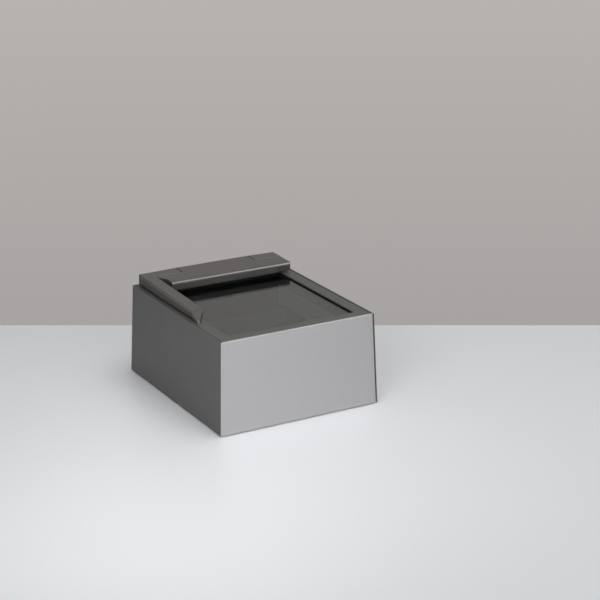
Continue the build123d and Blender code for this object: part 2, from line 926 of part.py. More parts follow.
def make_ribbon_connectors():
    half_run = ribbon_width / 2 + connector_margin
    half = connector_width / 2
    z1 = connector_top()
    blocks = [block(-half_run, half_run, camera_ribbon_y - half, camera_ribbon_y + half, board_top, z1)]
    for side in (-1, 1):
        x = side * light_ribbon_x
        blocks.append(block(x - half, x + half, -half_run, half_run, board_top, z1))
    x1 = main_board_half_width
    y0 = antenna_ribbon_y - half_run
    blocks.append(block(x1 - half - connector_margin / 2, x1, y0, y0 + 2 * half_run, board_top, z1))
    return blocks


def mouth_y():
    return half_depth(socket_level) - mouth_depth


def beside(x, width, y0, y1, z0, z1):
    """A block width wide about the given x."""
    return block(x - width / 2, x + width / 2, y0, y1, z0, z1)


def make_usb_socket():
    y1 = mouth_y()
    shell = beside(usb_x, usb_width, y1 - usb_length, y1, board_top, board_top + usb_height)
    z0 = board_top + (usb_height - usb_cavity_height) / 2
    y0 = y1 - usb_cavity_depth
    return shell - beside(usb_x, usb_cavity_width, y0, y1 + overrun, z0, z0 + usb_cavity_height)


def make_usb_tongue():
    y0 = mouth_y() - usb_cavity_depth
    z0 = board_top + (usb_height - usb_tongue_height) / 2
    return beside(usb_x, usb_tongue_width, y0, y0 + usb_tongue_length, z0, z0 + usb_tongue_height)


def make_power_socket():
    y1 = mouth_y()
    body = beside(power_x, power_width, y1 - power_length, y1, board_top, board_top + power_height)
    start = (power_x, y1 - power_bore_depth, board_top + power_bore_rise)
    return body - rod(power_bore_radius, start, (0, 1, 0), power_bore_depth + overrun)


def make_power_pin():
    start = (power_x, mouth_y() - power_bore_depth, board_top + power_bore_rise)
    pin = rod(power_pin_radius, start, (0, 1, 0), power_pin_length)
    return fillet(pin.edges().group_by(Axis.Y)[-1], power_pin_radius / 2)


def plate_screw_places():
    return (plate_left + plate_border / 2, plate_right - plate_border / 2)


def plate_screw_seat():
    return half_depth(plate_screw_z()) - wall - plate_thickness


def plate_screw_z():
    return (plate_low + plate_high) / 2


def plate_screw_hole(x):
    start = (x, plate_screw_seat() - overrun, plate_screw_z())
    return rod(small_radius + screw_fit, start, (0, 1, 0), overrun + plate_thickness + wall - rim / 2)


def make_socket_plate():
    plate = block(plate_left, plate_right, 0, beyond, plate_low, plate_high)
    plate = plate & tapered(tray_top, body_height, 0, 0, 0, wall)
    inner = wall + plate_thickness
    z1 = body_height + overrun
    plate = plate - tapered(tray_top - overrun, z1, -overrun, -overrun, -overrun, inner)
    grow = 2 * socket_gap
    z0 = board_top - socket_gap
    plate = plate - beside(usb_x, usb_width + grow, 0, beyond, z0, z0 + usb_height + grow)
    plate = plate - beside(power_x, power_width + grow, 0, beyond, z0, z0 + power_height + grow)
    plate = plate - block(plate_left, plate_right, 0, main_board_rear + socket_gap, plate_low, plate_high)
    for x in plate_screw_places():
        plate = plate - plate_screw_hole(x)
    return plate


def make_plate_screws():
    screws = []
    for x in plate_screw_places():
        seat_y = plate_screw_seat() - small_head_radius * math.tan(math.radians(draft))
        seat = (x, seat_y, plate_screw_z())
        shank = rod(small_radius, seat, (0, 1, 0), plate_thickness + rim / 2)
        screws.append(shank + rod(small_head_radius, seat, (0, -1, 0), small_head_height))
    return screws


# Hood


def hood_outline():
    """The hood's full rectangle in plan, with rounded corners at the back."""
    plate = Rectangle(2 * hood_half_width, top_depth)
    return fillet(plate.vertices().group_by(Axis.Y)[-1], hood_corner_radius)


def hood_envelope():
    """The hood's outer form: sloped top, rounded edges at the back and sides, rounded corners."""
    solid = extrude(Pos(0, 0, body_height) * hood_outline(), amount=hood_height + overrun)
    solid = solid & sloped_bar(-hood_half_width, hood_half_width, cover_edge_radius)
    back = block(-beyond, beyond, hinge_y, hood_rear + overrun, hinge_z, hood_top_rear + overrun)
    return solid - (back - along_x(hood_back_radius, -beyond, beyond))


def sloped_bar(x0, x1, radius):
    """A bar that lies along the hood's sloped top, with its two upper edges rounded."""
    lean = math.radians(hood_lean)
    direction = (0, math.cos(lean), math.sin(lean))
    start = Plane(origin=(0, hood_rear, hood_top_rear), x_dir=(1, 0, 0), z_dir=direction)
    section = Pos((x0 + x1) / 2, hood_height) * Rectangle(x1 - x0, 2 * hood_height)
    section = fillet(section.vertices().group_by(Axis.Y)[0], radius)
    return extrude(start * section, amount=beyond, both=True)


def above_hood_top(drop):
    lean = math.radians(hood_lean)
    return side_of((0, hood_rear, hood_top_rear - drop), (0, -math.sin(lean), math.cos(lean)))


def plan_rectangle(x0, x1, y0, y1):
    return Pos((x0 + x1) / 2, (y0 + y1) / 2) * Rectangle(x1 - x0, y1 - y0)


def l_plan(grow=0):
    """Plan of the hood's frame, the left arm and the back bar, its inner edges moved out by grow."""
    left = -hood_half_width - overrun
    right = hood_half_width + overrun
    back = hood_rear + overrun
    inner_x = arm_inner + grow
    inner_y = bar_front - grow
    plan = plan_rectangle(left, inner_x, -back, back) + plan_rectangle(left, right, inner_y, back)
    corner = plan.vertices().sort_by(lambda v: abs(v.X - inner_x) + abs(v.Y - inner_y))[0]
    return fillet(corner, inner_corner_radius - grow)


def notch_plan():
    """Plan of the notch in the back bar that takes the flap's tongue."""
    return plan_rectangle(tongue_left - tongue_gap, tongue_right + tongue_gap, 0, hood_rear + overrun)


def tip_plane_cut(distance):
    """Everything past a line parallel to the tip's slanted end, distance behind it."""
    skew = math.radians(tip_skew)
    normal = (math.sin(skew), -math.cos(skew), 0)
    origin = (arm_inner - distance * normal[0], tip_inner_y - distance * normal[1], body_height)
    arm = block(-beyond, arm_inner + overrun, -beyond, bar_front - inner_corner_radius, 0, beyond)
    return side_of(origin, normal) & arm


def make_hood_base():
    top = hood_top_rear + overrun
    band = extrude(Pos(0, 0, hood_bottom) * l_plan(), amount=top - hood_bottom)
    pocket = extrude(Pos(0, 0, slab_top) * notch_plan(), amount=top - slab_top)
    band = (band - pocket) & hood_envelope()
    limit = extrude(Pos(0, 0, hood_bottom) * hood_outline(), amount=hood_height, taper=band_lean)
    band = (band & limit) - above_hood_top(cover_thickness) - tip_plane_cut(tip_length)
    band = band + make_plinth()
    for x0, x1 in pin_spans_in_hood():
        band = band - along_x(pin_radius + pin_fit, x0, x1)
    for x, y in block_screws:
        depth = hood_screw_length - bezel_thickness - hood_gap
        band = band - hole(x, y, body_height - overrun, hood_bottom + depth + seam, screw_radius + screw_fit)
    for x, y in slab_screws:
        band = band - hole(x, y, body_height - overrun, slab_top + overrun, screw_radius + screw_fit)
    sink_top = body_height + cover_screw_sink + seam
    for x, y in cover_screws():
        band = band - hole(x, y, body_height - overrun, hood_top_rear, screw_radius + screw_fit)
        band = band - hole(x, y, body_height - overrun, sink_top, screw_head_radius + seam)
    leg_radius = spring_wire_radius + 2 * screw_fit
    for x, _ in spring_ends():
        y = hinge_y + spring_coil_radius
        band = band - hole(x, y, slab_top - spring_leg_depth, slab_top + overrun, leg_radius)
    return band


def make_plinth():
    """The set-back foot of the hood, which leaves a dark gap under its edge."""
    x0 = plinth_inset - hood_half_width
    x1 = hood_half_width - plinth_inset
    y1 = hood_rear - plinth_inset
    bar = block(x0, x1, bar_front + plinth_bar_front, y1, body_height, hood_bottom)
    arm = block(x0, x0 + plinth_arm_width, -top_depth / 2, y1, body_height, hood_bottom)
    return (bar + arm) - tip_plane_cut(tip_length)


def pin_spans_in_hood():
    left = tongue_left - tongue_gap
    right = tongue_right + tongue_gap
    return [(left - pin_in_hood, left + overrun), (right - overrun, right + pin_in_hood)]


def cover_screws():
    x = plinth_inset + plinth_arm_width / 2 - hood_half_width
    arm_places = [(x, 0), (x, bar_front - bar_depth)]
    block_y = bar_front + screw_head_radius + plinth_bar_front
    return arm_places + [(x + bar_depth, block_y), (hood_half_width - plinth_inset * 2, block_y)]


def make_cover_screws():
    z = body_height + cover_screw_sink
    screws = []
    for x, y in cover_screws():
        length = hood_top(y) - cover_thickness / 2 - z
        screws.append(large_screw(x, y, z, 1, length))
    return screws


def make_hood_screws():
    screws = []
    for places, length in ((block_screws, hood_screw_length), (slab_screws, slab_screw_length)):
        for x, y in places:
            screws.append(large_screw(x, y, bezel_bottom, 1, length))
    return screws


def tip_cuts():
    """The planes that facet the tip: top facet, point facet and heel chamfer."""
    roll = math.tan(math.radians(tip_roll))
    fall = math.tan(math.radians(tip_fall))
    ridge = (-hood_half_width, tip_ridge_y, hood_top(tip_ridge_y))
    point_z = hood_top(tip_ridge_y) + (tip_point_y - tip_ridge_y) * fall
    point = (-hood_half_width, tip_point_y, point_z)
    steep = math.tan(math.radians(tip_point_fall))
    return side_of(ridge, (roll, -fall, 1)) + side_of(point, (0, -steep, 1))


def make_hood_cover():
    prism = extrude(Pos(0, 0, body_height) * (l_plan() - notch_plan()), amount=hood_height + overrun)
    full = prism & hood_envelope()
    lean = math.radians(hood_lean)
    origin = (0, hood_rear, hood_top_rear - cover_thickness)
    seat = Plane(origin=origin, x_dir=(1, 0, 0), z_dir=(0, -math.sin(lean), math.cos(lean)))
    shrink = cover_thickness * math.tan(math.radians(cover_lean))
    outline = Rectangle(2 * (hood_half_width - shrink), top_depth - shrink)
    outline = fillet(outline.vertices().group_by(Axis.Y)[-1], hood_corner_radius)
    outline = seat * (Pos(0, -(top_depth + shrink) / 2) * outline)
    flared = extrude(outline, amount=cover_thickness + overrun, taper=-cover_lean)
    plate = full & flared
    cover = plate - tip_plane_cut(tip_length)
    tip = full & tip_plane_cut(tip_length - tip_joint)
    skew = math.radians(tip_skew)
    back = Vector(-math.sin(skew), math.cos(skew), 0)
    heel = Vector(arm_inner, tip_inner_y, body_height) + back * (tip_length - tip_heel)
    tip = tip - side_of(tuple(heel), (back.X, back.Y, -tip_heel / hood_gap))
    joined = cover + (plate & tip_plane_cut(tip_length)) + tip
    cover = joined - tip_plane_cut(0) - tip_cuts()
    for x, y in cover_screws():
        depth = hood_top(y) - cover_thickness / 2 + seam
        cover = cover - hole(x, y, body_height, depth, screw_radius + screw_fit)
    return cover


def make_left_cover():
    return make_hood_cover().solids().sort_by(Axis.X)[0]


def make_right_cover():
    return make_hood_cover().solids().sort_by(Axis.X)[-1]


# Flap


def lip_profile():
    """Side view of the lip as a face in the plane x = 0, from nose to back edge."""
    lean = math.tan(math.radians(nose_lean))
    crown_y = flap_nose_y + nose_radius
    crown_z = hood_top(crown_y)
    centre_z = crown_z - nose_radius
    turn = math.radians(90 - nose_lean / 2)
    half_turn = turn / 2 + math.radians(nose_lean) / 4
    middle_y = crown_y - nose_radius * math.sin(half_turn)
    middle = (0, middle_y, centre_z + nose_radius * math.cos(half_turn))
    front = (0, flap_nose_y, centre_z)
    foot_y = flap_nose_y + (centre_z - flap_bottom) * lean
    arc = ThreePointArc((0, crown_y, crown_z), middle, front)
    rest = Polyline(
        [
            front,
            (0, foot_y, flap_bottom),
            (0, lip_rear, flap_bottom),
            (0, lip_rear, hood_top(lip_rear)),
            (0, crown_y, crown_z),
        ]
    )
    return make_face([arc, rest])


def lip_plan():
    """Plan of the lip: rounded front right corner, flared left end."""
    straight_y = flare_y - flare_length
    bend_x = flap_left - flare_bend_share * flare_width
    bend_y = straight_y + flare_run_share * flare_length
    flare = ThreePointArc((flap_left, straight_y), (bend_x, bend_y), (flare_x, flare_y))
    front = flap_nose_y - overrun
    corner_y = flap_nose_y + flap_corner_radius
    corner_x = flap_right - flap_corner_radius
    rear = lip_rear + overrun
    lines = Polyline([(flare_x, flare_y), (flare_x, rear), (flap_right, rear), (flap_right, corner_y)])
    reach = flap_corner_radius * math.sqrt(2) / 2
    middle = (corner_x + reach, corner_y - reach)
    corner = ThreePointArc((flap_right, corner_y), middle, (corner_x, flap_nose_y))
    ends = [(corner_x, flap_nose_y), (corner_x, front), (flap_left, front), (flap_left, straight_y)]
    return make_face([flare, lines, corner, Polyline(ends)])


def swept_hood():
    """What the hood's inner edge sweeps through, seen from the flap as it opens."""
    rest_y = hinge_y - hood_back_radius
    plan = l_plan(hinge_swing_gap) - notch_plan()
    plan = plan & plan_rectangle(arm_inner, hood_half_width + overrun, 0, rest_y)
    lean = math.radians(hood_lean)
    normal = (0, -math.sin(lean), math.cos(lean))
    plane = Plane(origin=(0, 0, hood_top(0)), x_dir=(1, 0, 0), z_dir=normal)
    hinge = Axis((0, hinge_y, hinge_z), (1, 0, 0))
    lifted = (plane * plan).rotate(hinge, -hinge_swing_lead)
    return revolve(lifted, axis=hinge, revolution_arc=flap_opening + 2 * hinge_swing_lead)


def make_flap():
    lip = extrude(lip_profile(), amount=hood_half_width, both=True)
    lip = lip & extrude(Pos(0, 0, body_height) * lip_plan(), amount=hood_top_rear)
    lip = lip & sloped_bar(-hood_half_width, flap_right, flap_end_radius)
    hollow = block(
        flap_left + flap_rim,
        flap_right - flap_rim,
        flap_nose_y + nose_wall,
        lip_rear - flap_rim,
        body_height,
        hood_top_rear,
    )
    lip = lip - (hollow - above_hood_top(flap_skin))
    lip = lip - swept_hood()
    seam_y = lip_rear - flap_rim
    tongue = block(tongue_left, tongue_right, seam_y, hinge_y, slab_top, hood_top_rear + overrun)
    tongue = tongue - above_hood_top(0)
    under = block(-beyond, beyond, bar_front - flap_rim, hood_rear, body_height, hood_top_rear)
    tongue = tongue - (under - above_hood_top(tongue_skin))
    barrel = along_x(hood_back_radius, tongue_left, tongue_right)
    flap = lip + tongue + barrel
    flap = flap - block(-beyond, beyond, seam_y, hinge_y, 0, flap_bottom)
    barrel_y = hinge_y - hood_back_radius
    rib_low = slab_top + bumper_height + seam
    rib_high = hood_top(lip_rear) - tongue_skin / 2
    for x in bumper_places():
        flap = flap + beside(x, flap_rib_thickness, seam_y, barrel_y, rib_low, rib_high)
    flap = flap - along_x(pin_radius + pin_fit, tongue_left - overrun, tongue_right + overrun)
    cavity_top = hinge_z + spring_cavity_rise
    for x0, x1 in spring_slots():
        opening = block(x0, x1, barrel_y, hood_rear + overrun, body_height, cavity_top)
        flap = flap - along_x(spring_cavity_radius, x0, x1) - opening
    leg_top = hinge_z + spring_cavity_radius + spring_leg_depth
    for _, x in spring_ends():
        y = hinge_y - spring_coil_radius
        flap = flap - hole(x, y, hinge_z, leg_top, spring_wire_radius + 2 * screw_fit)
    return flap


def bumper_places():
    return (tongue_left + flap_rib_inset, tongue_right - flap_rib_inset)


def spring_slots():
    return [
        (tongue_left + knuckle_width, tongue_left + knuckle_width + spring_slot),
        (tongue_right - knuckle_width - spring_slot, tongue_right - knuckle_width),
    ]


def spring_ends():
    """Where each spring's two legs leave its coil: the one in the hood, and the one in the flap."""
    reach = spring_coil_length / 2 - spring_leg_inset
    return [((x0 + x1) / 2 - reach, (x0 + x1) / 2 + reach) for x0, x1 in spring_slots()]


def make_bumpers():
    return [hole(x, bumper_y, slab_top, slab_top + bumper_height, bumper_radius) for x in bumper_places()]


def make_flap_pad():
    pad = block(
        flap_left + flap_rim + pad_gap,
        flap_right - flap_rim - pad_gap,
        flap_nose_y + nose_wall + pad_gap,
        lip_rear - flap_rim - pad_gap,
        flap_bottom + pad_lift,
        hood_top_rear,
    )
    return pad - above_hood_top(flap_skin)


def make_hinge_pins():
    inner = knuckle_width + spring_slot + knuckle_width
    left = (tongue_left - tongue_gap - pin_in_hood, tongue_left + inner)
    right = (tongue_right - inner, tongue_right + tongue_gap + pin_in_hood)
    pins = []
    for x0, x1 in (left, right):
        pin = along_x(pin_radius, x0, x1)
        pins.append(chamfer(pin.edges().filter_by(GeomType.CIRCLE), pin_bevel))
    return pins


def make_flap_springs():
    springs = []
    for fixed_x, moving_x in spring_ends():
        x0 = fixed_x - spring_leg_inset
        x1 = moving_x + spring_leg_inset
        outer = along_x(spring_coil_radius + spring_wire_radius, x0, x1)
        coil = outer - along_x(spring_coil_radius - spring_wire_radius, x0 - overrun, x1 + overrun)
        fixed_y = hinge_y + spring_coil_radius
        fixed = hole(fixed_x, fixed_y, slab_top - spring_leg_depth / 2, hinge_z, spring_wire_radius)
        moving_y = hinge_y - spring_coil_radius
        top = hinge_z + spring_cavity_radius + spring_leg_depth / 2
        moving = hole(moving_x, moving_y, hinge_z, top, spring_wire_radius)
        springs.append(coil + fixed + moving)
    return springs


pieces = {
    "side_housing": make_side_housing,
    "front_panel": make_front_panel,
    "base_tray": make_base_tray,
    "rubber_feet": make_feet,
    "base_screws": make_base_screws,
    "front_panel_screws": make_panel_screws,
    "top_bezel": make_bezel,
    "bezel_screws": make_bezel_screws,
    "glass_gasket": make_gasket,
    "scan_glass": make_glass,
    "optics_chamber": make_chamber,
    "chamber_screws": make_chamber_screws,
    "fold_mirror": make_mirror,
    "mirror_cradle": make_cradle,
    "camera_bracket": make_camera_bracket,
    "camera_bracket_screws": make_bracket_screws,
    "camera_board": make_camera_board,
    "image_sensor": make_image_sensor,
    "lens_barrel": make_lens_barrel,
    "camera_lens": make_camera_lens,
    "light_boards": make_light_boards,
    "light_board_lamps": make_lamps,
    "light_diffusers": make_diffusers,
    "antenna_ring": make_antenna,
    "antenna_ribbon": make_antenna_ribbon,
    "light_ribbons": make_light_ribbons,
    "camera_ribbon": make_camera_ribbon,
    "main_board": make_main_board,
    "main_board_screws": make_board_screws,
    "board_chips": make_board_chips,
    "board_capacitors": make_capacitors,
    "ribbon_connectors": make_ribbon_connectors,
    "usb_socket": make_usb_socket,
    "usb_tongue": make_usb_tongue,
    "power_socket": make_power_socket,
    "power_pin": make_power_pin,
    "socket_plate": make_socket_plate,
    "socket_plate_screws": make_plate_screws,
    "hood_base": make_hood_base,
    "hood_cover": make_left_cover,
    "hood_end_cover": make_right_cover,
    "cover_screws": make_cover_screws,
    "hood_screws": make_hood_screws,
    "flap": make_flap,
    "flap_bumpers": make_bumpers,
    "flap_pad": make_flap_pad,
    "hinge_pins": make_hinge_pins,
    "flap_springs": make_flap_springs,
}

os.makedirs("parts", exist_ok=True)
for name, make in pieces.items():
    made = make()
    if isinstance(made, list):
        made = Compound(children=made)
    made.label = name
    export_step(made, f"parts/{name}.step")
    print(name, len(made.solids()))
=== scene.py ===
import json
from math import cos, radians, sin, sqrt, tan

import bmesh
import bpy
import numpy as np
from numpy import pi
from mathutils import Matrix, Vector
from mathutils.bvhtree import BVHTree


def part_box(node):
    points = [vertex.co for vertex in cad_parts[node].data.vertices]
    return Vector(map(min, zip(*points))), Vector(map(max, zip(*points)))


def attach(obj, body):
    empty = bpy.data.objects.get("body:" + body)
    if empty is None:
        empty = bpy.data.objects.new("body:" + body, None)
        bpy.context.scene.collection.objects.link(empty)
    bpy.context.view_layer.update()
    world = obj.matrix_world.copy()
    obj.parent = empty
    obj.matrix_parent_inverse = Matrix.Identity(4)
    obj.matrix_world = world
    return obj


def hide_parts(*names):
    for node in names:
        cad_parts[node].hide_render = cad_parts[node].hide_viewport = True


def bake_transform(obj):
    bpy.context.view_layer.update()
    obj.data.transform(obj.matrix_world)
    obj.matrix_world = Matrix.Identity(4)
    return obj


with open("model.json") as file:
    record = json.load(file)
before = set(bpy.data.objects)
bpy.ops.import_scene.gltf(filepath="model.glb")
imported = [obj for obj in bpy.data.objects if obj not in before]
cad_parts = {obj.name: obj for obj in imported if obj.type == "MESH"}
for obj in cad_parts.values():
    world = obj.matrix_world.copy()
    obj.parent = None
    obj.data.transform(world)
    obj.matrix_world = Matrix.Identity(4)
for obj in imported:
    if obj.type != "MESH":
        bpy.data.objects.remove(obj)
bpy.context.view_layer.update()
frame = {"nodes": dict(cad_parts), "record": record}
nodes = frame["nodes"]
mm = 0.001
weld = 1e-7  # points nearer than this are one
print("frame loaded:", len(nodes), "nodes")


def paint(red, green, blue):
    # a colour as read off a screen, 0 to 255, made linear
    return tuple((np.array([red, green, blue]) / 255) ** 2.2) + (1.0,)


def shade(colour, gain, lift=0.0, most=np.inf):
    # the colour times gain plus lift, no more than most
    return tuple(np.minimum(np.array(colour[:3]) * gain + lift, most)) + (1.0,)


# Mesh tools

def closeMesh(mesh):
    # doubles are merged, then the shell's faces are turned outwards
    bm = bmesh.new()
    bm.from_mesh(mesh)
    bmesh.ops.remove_doubles(bm, verts=bm.verts, dist=weld)
    bmesh.ops.recalc_face_normals(bm, faces=bm.faces)
    bm.to_mesh(mesh)
    bm.free()


def smoothByAngle(mesh, degrees):
    # every face smooth, edges sharp where their faces turn by the angle or more
    bm = bmesh.new()
    bm.from_mesh(mesh)
    for face in bm.faces:
        face.smooth = True
    for edge in bm.edges:
        edge.smooth = len(edge.link_faces) == 2 and edge.calc_face_angle(0) < radians(degrees)
    bm.to_mesh(mesh)
    bm.free()


def addObject(name, data):
    # a new object at the origin, linked to the scene
    item = bpy.data.objects.new(name, data)
    bpy.context.scene.collection.objects.link(item)
    return item


def addMesh(name, points, faces):
    # an object with a mesh of its own, closed
    mesh = bpy.data.meshes.new(name)
    mesh.from_pydata(points.tolist(), [], faces)
    closeMesh(mesh)
    return addObject(name, mesh)


def addPiece(name, parts, slotName, replaced=None, body="reader", smooth=True, sharpAngle=35):
    # one object from a list of (points, faces) pairs, each closed on its own
    points = np.concatenate([p.reshape(-1, 3) for p, f in parts])
    starts = np.cumsum([0] + [p.size // 3 for p, f in parts])
    faces = [[k + int(start) for k in row] for (p, f), start in zip(parts, starts) for row in f]
    piece = addMesh(name, points, faces)
    piece.data.materials.append(finishes[slotName])
    if smooth:
        smoothByAngle(piece.data, sharpAngle)
    if body:
        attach(piece, body)
    if replaced:
        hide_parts(replaced)
    return piece


def meshVectors(items, label):
    # one named vector of every vertex or face, as rows of three
    values = np.empty(len(items) * 3)
    items.foreach_get(label, values)
    return values.reshape(-1, 3)


def gridFaces(rows, columns, closedRows=False, closedColumns=True, capped=False):
    # a quad between each grid point and its next neighbours, and caps over the first and last row
    i = np.arange(rows if closedRows else rows - 1)[:, None]
    j = np.arange(columns if closedColumns else columns - 1)[None, :]
    i2, j2 = (i + 1) % rows, (j + 1) % columns
    corners = [i * columns + j, i * columns + j2, i2 * columns + j2, i2 * columns + j]
    caps = [list(range(columns))[::-1], list(range((rows - 1) * columns, rows * columns))] if capped else []
    return np.stack(corners, -1).reshape(-1, 4).tolist() + caps


def quarter(count, start=0.0):
    # even angles up to a quarter turn
    return np.linspace(start, pi / 2, count)


def rim(radius, edge, count):
    # a quarter round of a half section, from its flat end at height 0 out to the radius
    return [(radius - edge * (1 - sin(t)), edge * (1 - cos(t))) for t in quarter(count)]


def fullTurn(count):
    # even angles round a circle
    return np.linspace(0, 2 * pi, count, endpoint=False)


def turned(part, origin, axis):
    # a part made about +z is turned so that +z is axis, then moved to origin
    turn = np.array(Vector((0, 0, 1)).rotation_difference(Vector(axis)).to_matrix())
    return part[0] @ turn.T + origin, part[1]


def lathe(profile, segments):
    # surface of revolution: each (radius, height) pair carried round the angle
    profile = np.array(profile, float)
    angle = fullTurn(segments)
    radius, height = profile[:, :1], profile[:, 1:2] * np.ones_like(angle)
    points = np.stack([radius * np.cos(angle), radius * np.sin(angle), height], -1)
    return points, gridFaces(len(profile), segments)


def sweep(path, section, closed=False, up=(0, 0, 1)):
    # the section's (side, rise) points go along the path, square to its tangent; open ends are capped
    path = np.array(path, float)
    section = np.array(section, float)
    if closed:
        tangent = np.roll(path, -1, 0) - np.roll(path, 1, 0)
    else:
        tangent = np.gradient(path, axis=0)
    tangent /= np.linalg.norm(tangent, axis=1)[:, None]
    side = np.cross(tangent, np.broadcast_to(np.array(up, float), tangent.shape))
    side /= np.linalg.norm(side, axis=1)[:, None]
    rise = np.cross(side, tangent)
    points = path[:, None] + section[None, :, :1] * side[:, None] + section[None, :, 1:] * rise[:, None]
    return points, gridFaces(len(path), len(section), closed, capped=not closed)


def circle(radius, count):
    # a round section for sweep
    turn = fullTurn(count)
    return np.stack([radius * np.cos(turn), radius * np.sin(turn)], -1)


def strip(halfWidth, halfRise):
    # a flat section for sweep
    return [(-halfWidth, -halfRise), (halfWidth, -halfRise), (halfWidth, halfRise), (-halfWidth, halfRise)]


def roundedRectangle(halfX, halfY, radius, steps=6):
    # corner arcs of the given radius about the four inset corners
    turn = quarter(steps)
    ring = []
    for k, (sx, sy) in enumerate(((1, 1), (-1, 1), (-1, -1), (1, -1))):
        x = sx * (halfX - radius) + radius * np.cos(turn + k * pi / 2)
        y = sy * (halfY - radius) + radius * np.sin(turn + k * pi / 2)
        ring.append(np.stack([x, y], -1))
    return np.concatenate(ring)


def slab(low, high, edge, steps=3):
    # a box with round corners in plan and quarter rounds along its top and bottom rims
    low, high = np.array(low, float), np.array(high, float)
    centre, half = (low + high) / 2, (high - low) / 2
    rings = [(-inset, rise - half[2]) for inset, rise in rim(0, edge, steps + 1)]
    rings += [(inset, -z) for inset, z in rings[::-1]]
    loops = []
    for inset, z in rings:  # an inset ring keeps at least a quarter of the corner
        ring = roundedRectangle(half[0] - inset, half[1] - inset, max(edge - inset, edge / 4))
        loops.append(np.column_stack([ring, np.full(len(ring), z)]))
    points = np.array(loops) + centre
    return points, gridFaces(*points.shape[:2], capped=True)


def looseBoxes(nodeName):
    # lowest and highest corner of each separate solid of a CAD node
    bm = bmesh.new()
    bm.from_mesh(nodes[nodeName].data)
    bmesh.ops.remove_doubles(bm, verts=bm.verts, dist=weld)
    seen, boxes = set(), []
    for vert in bm.verts:
        if vert in seen:
            continue
        stack, places = [vert], []
        seen.add(vert)
        while stack:
            here = stack.pop()
            places.append(tuple(here.co))
            fresh = {edge.other_vert(here) for edge in here.link_edges} - seen
            seen |= fresh
            stack += fresh
        places = np.array(places)
        boxes.append((places.min(0), places.max(0)))
    bm.free()
    return sorted(boxes, key=lambda box: tuple(np.round(box[0], 5)))


def lathedSolids(nodeName, profileOf, look, segments):
    # each solid of the node as the half section in mm that its radius and height give, turned round
    parts = []
    for low, high in looseBoxes(nodeName):
        size = (high - low) / mm
        points, faces = lathe(profileOf(size[0] / 2, size[2], look), segments)
        parts.append((points * mm + np.append(((low + high) / 2)[:2], low[2]), faces))
    return parts


# Shader groups

def feed(tree, socket, value):
    # a plain value is written into the socket, a node's output is linked to it
    if isinstance(value, (int, float, tuple)):
        socket.default_value = value
    else:
        tree.links.new(value, socket)


def addNode(tree, kind, group=None, **values):
    # a shader node, or a group's, with its named inputs fed
    node = tree.nodes.new("ShaderNode" + kind)
    if group:
        node.node_tree = group
    for label, value in values.items():
        feed(tree, node.inputs[label], value)
    return node


def objectPlace(tree):
    # the point in the frame's metres
    return addNode(tree, "TexCoord").outputs["Object"]


def addMath(tree, value, *steps):
    # the value taken through each named operation in turn, with what follows the name
    for operation, second in zip(steps[::2], steps[1::2]):
        node = addNode(tree, "Math")
        node.operation = operation
        feed(tree, node.inputs[0], value)
        feed(tree, node.inputs[1], second)
        value = node.outputs[0]
    return value


def addNoise(tree, scale, detail, place=None, roughness=0.55):
    # fractal noise in the frame, or at the places given
    if place is None:
        place = objectPlace(tree)
    return addNode(tree, "TexNoise", Vector=place, Scale=scale, Detail=detail, Roughness=roughness).outputs[0]


def startGroup(name, inputs, outputs):
    # an empty group with number sockets of these names, and its two ends
    group = bpy.data.node_groups.new(name, "ShaderNodeTree")
    for direction, labels in (("INPUT", inputs), ("OUTPUT", outputs)):
        for label in labels:
            group.interface.new_socket(label, in_out=direction, socket_type="NodeSocketFloat")
    return group, group.nodes.new("NodeGroupInput"), group.nodes.new("NodeGroupOutput")


grainLook = {"cellShare": 0.6, "fineDetail": 2.0, "driftDetail": 4.0}


def makeGrain(look):
    # moulded grain: rounded cells times their share plus a fine noise; a broad noise is the drift
    group, inside, outside = startGroup("mouldedGrain", ["Scale", "Drift"], ["Height", "Drift"])
    place = objectPlace(group)
    cells = addNode(group, "TexVoronoi", Vector=place, Scale=inside.outputs["Scale"])
    cells.feature = "SMOOTH_F1"
    fine = addNoise(group, inside.outputs["Scale"], look["fineDetail"], place)
    height = addMath(group, cells.outputs["Distance"], "MULTIPLY", look["cellShare"], "ADD", fine)
    group.links.new(height, outside.inputs["Height"])
    drift = addNoise(group, inside.outputs["Drift"], look["driftDetail"], place)
    group.links.new(drift, outside.inputs["Drift"])
    return group


wearLook = {"detail": 5.0, "roughness": 0.7, "cut": 0.92, "steepness": 5.0}


def makeWear(look):
    # handling marks: noise plus amount less cut, times steepness, held to 0 to 1, times the edge mark
    group, inside, outside = startGroup("edgeWear", ["Amount", "Scale"], ["Mask"])
    mark = addNode(group, "Attribute")
    mark.attribute_name = "edge"
    patch = addNoise(group, inside.outputs["Scale"], look["detail"], roughness=look["roughness"])
    over = addMath(group, patch, "ADD", inside.outputs["Amount"], "SUBTRACT", look["cut"])
    mask = addMath(group, over, "MULTIPLY", look["steepness"], "MAXIMUM", 0.0, "MINIMUM", 1.0,
                   "MULTIPLY", mark.outputs["Fac"])
    group.links.new(mask, outside.inputs["Mask"])
    return group


dustLook = {
    "film": 60.0, "filmDetail": 5.0, "filmRoughness": 0.65, "filmShare": 0.35,
    "specks": 1500.0, "speckDetail": 1.0, "cut": 0.72, "speckShare": 6.0,
}


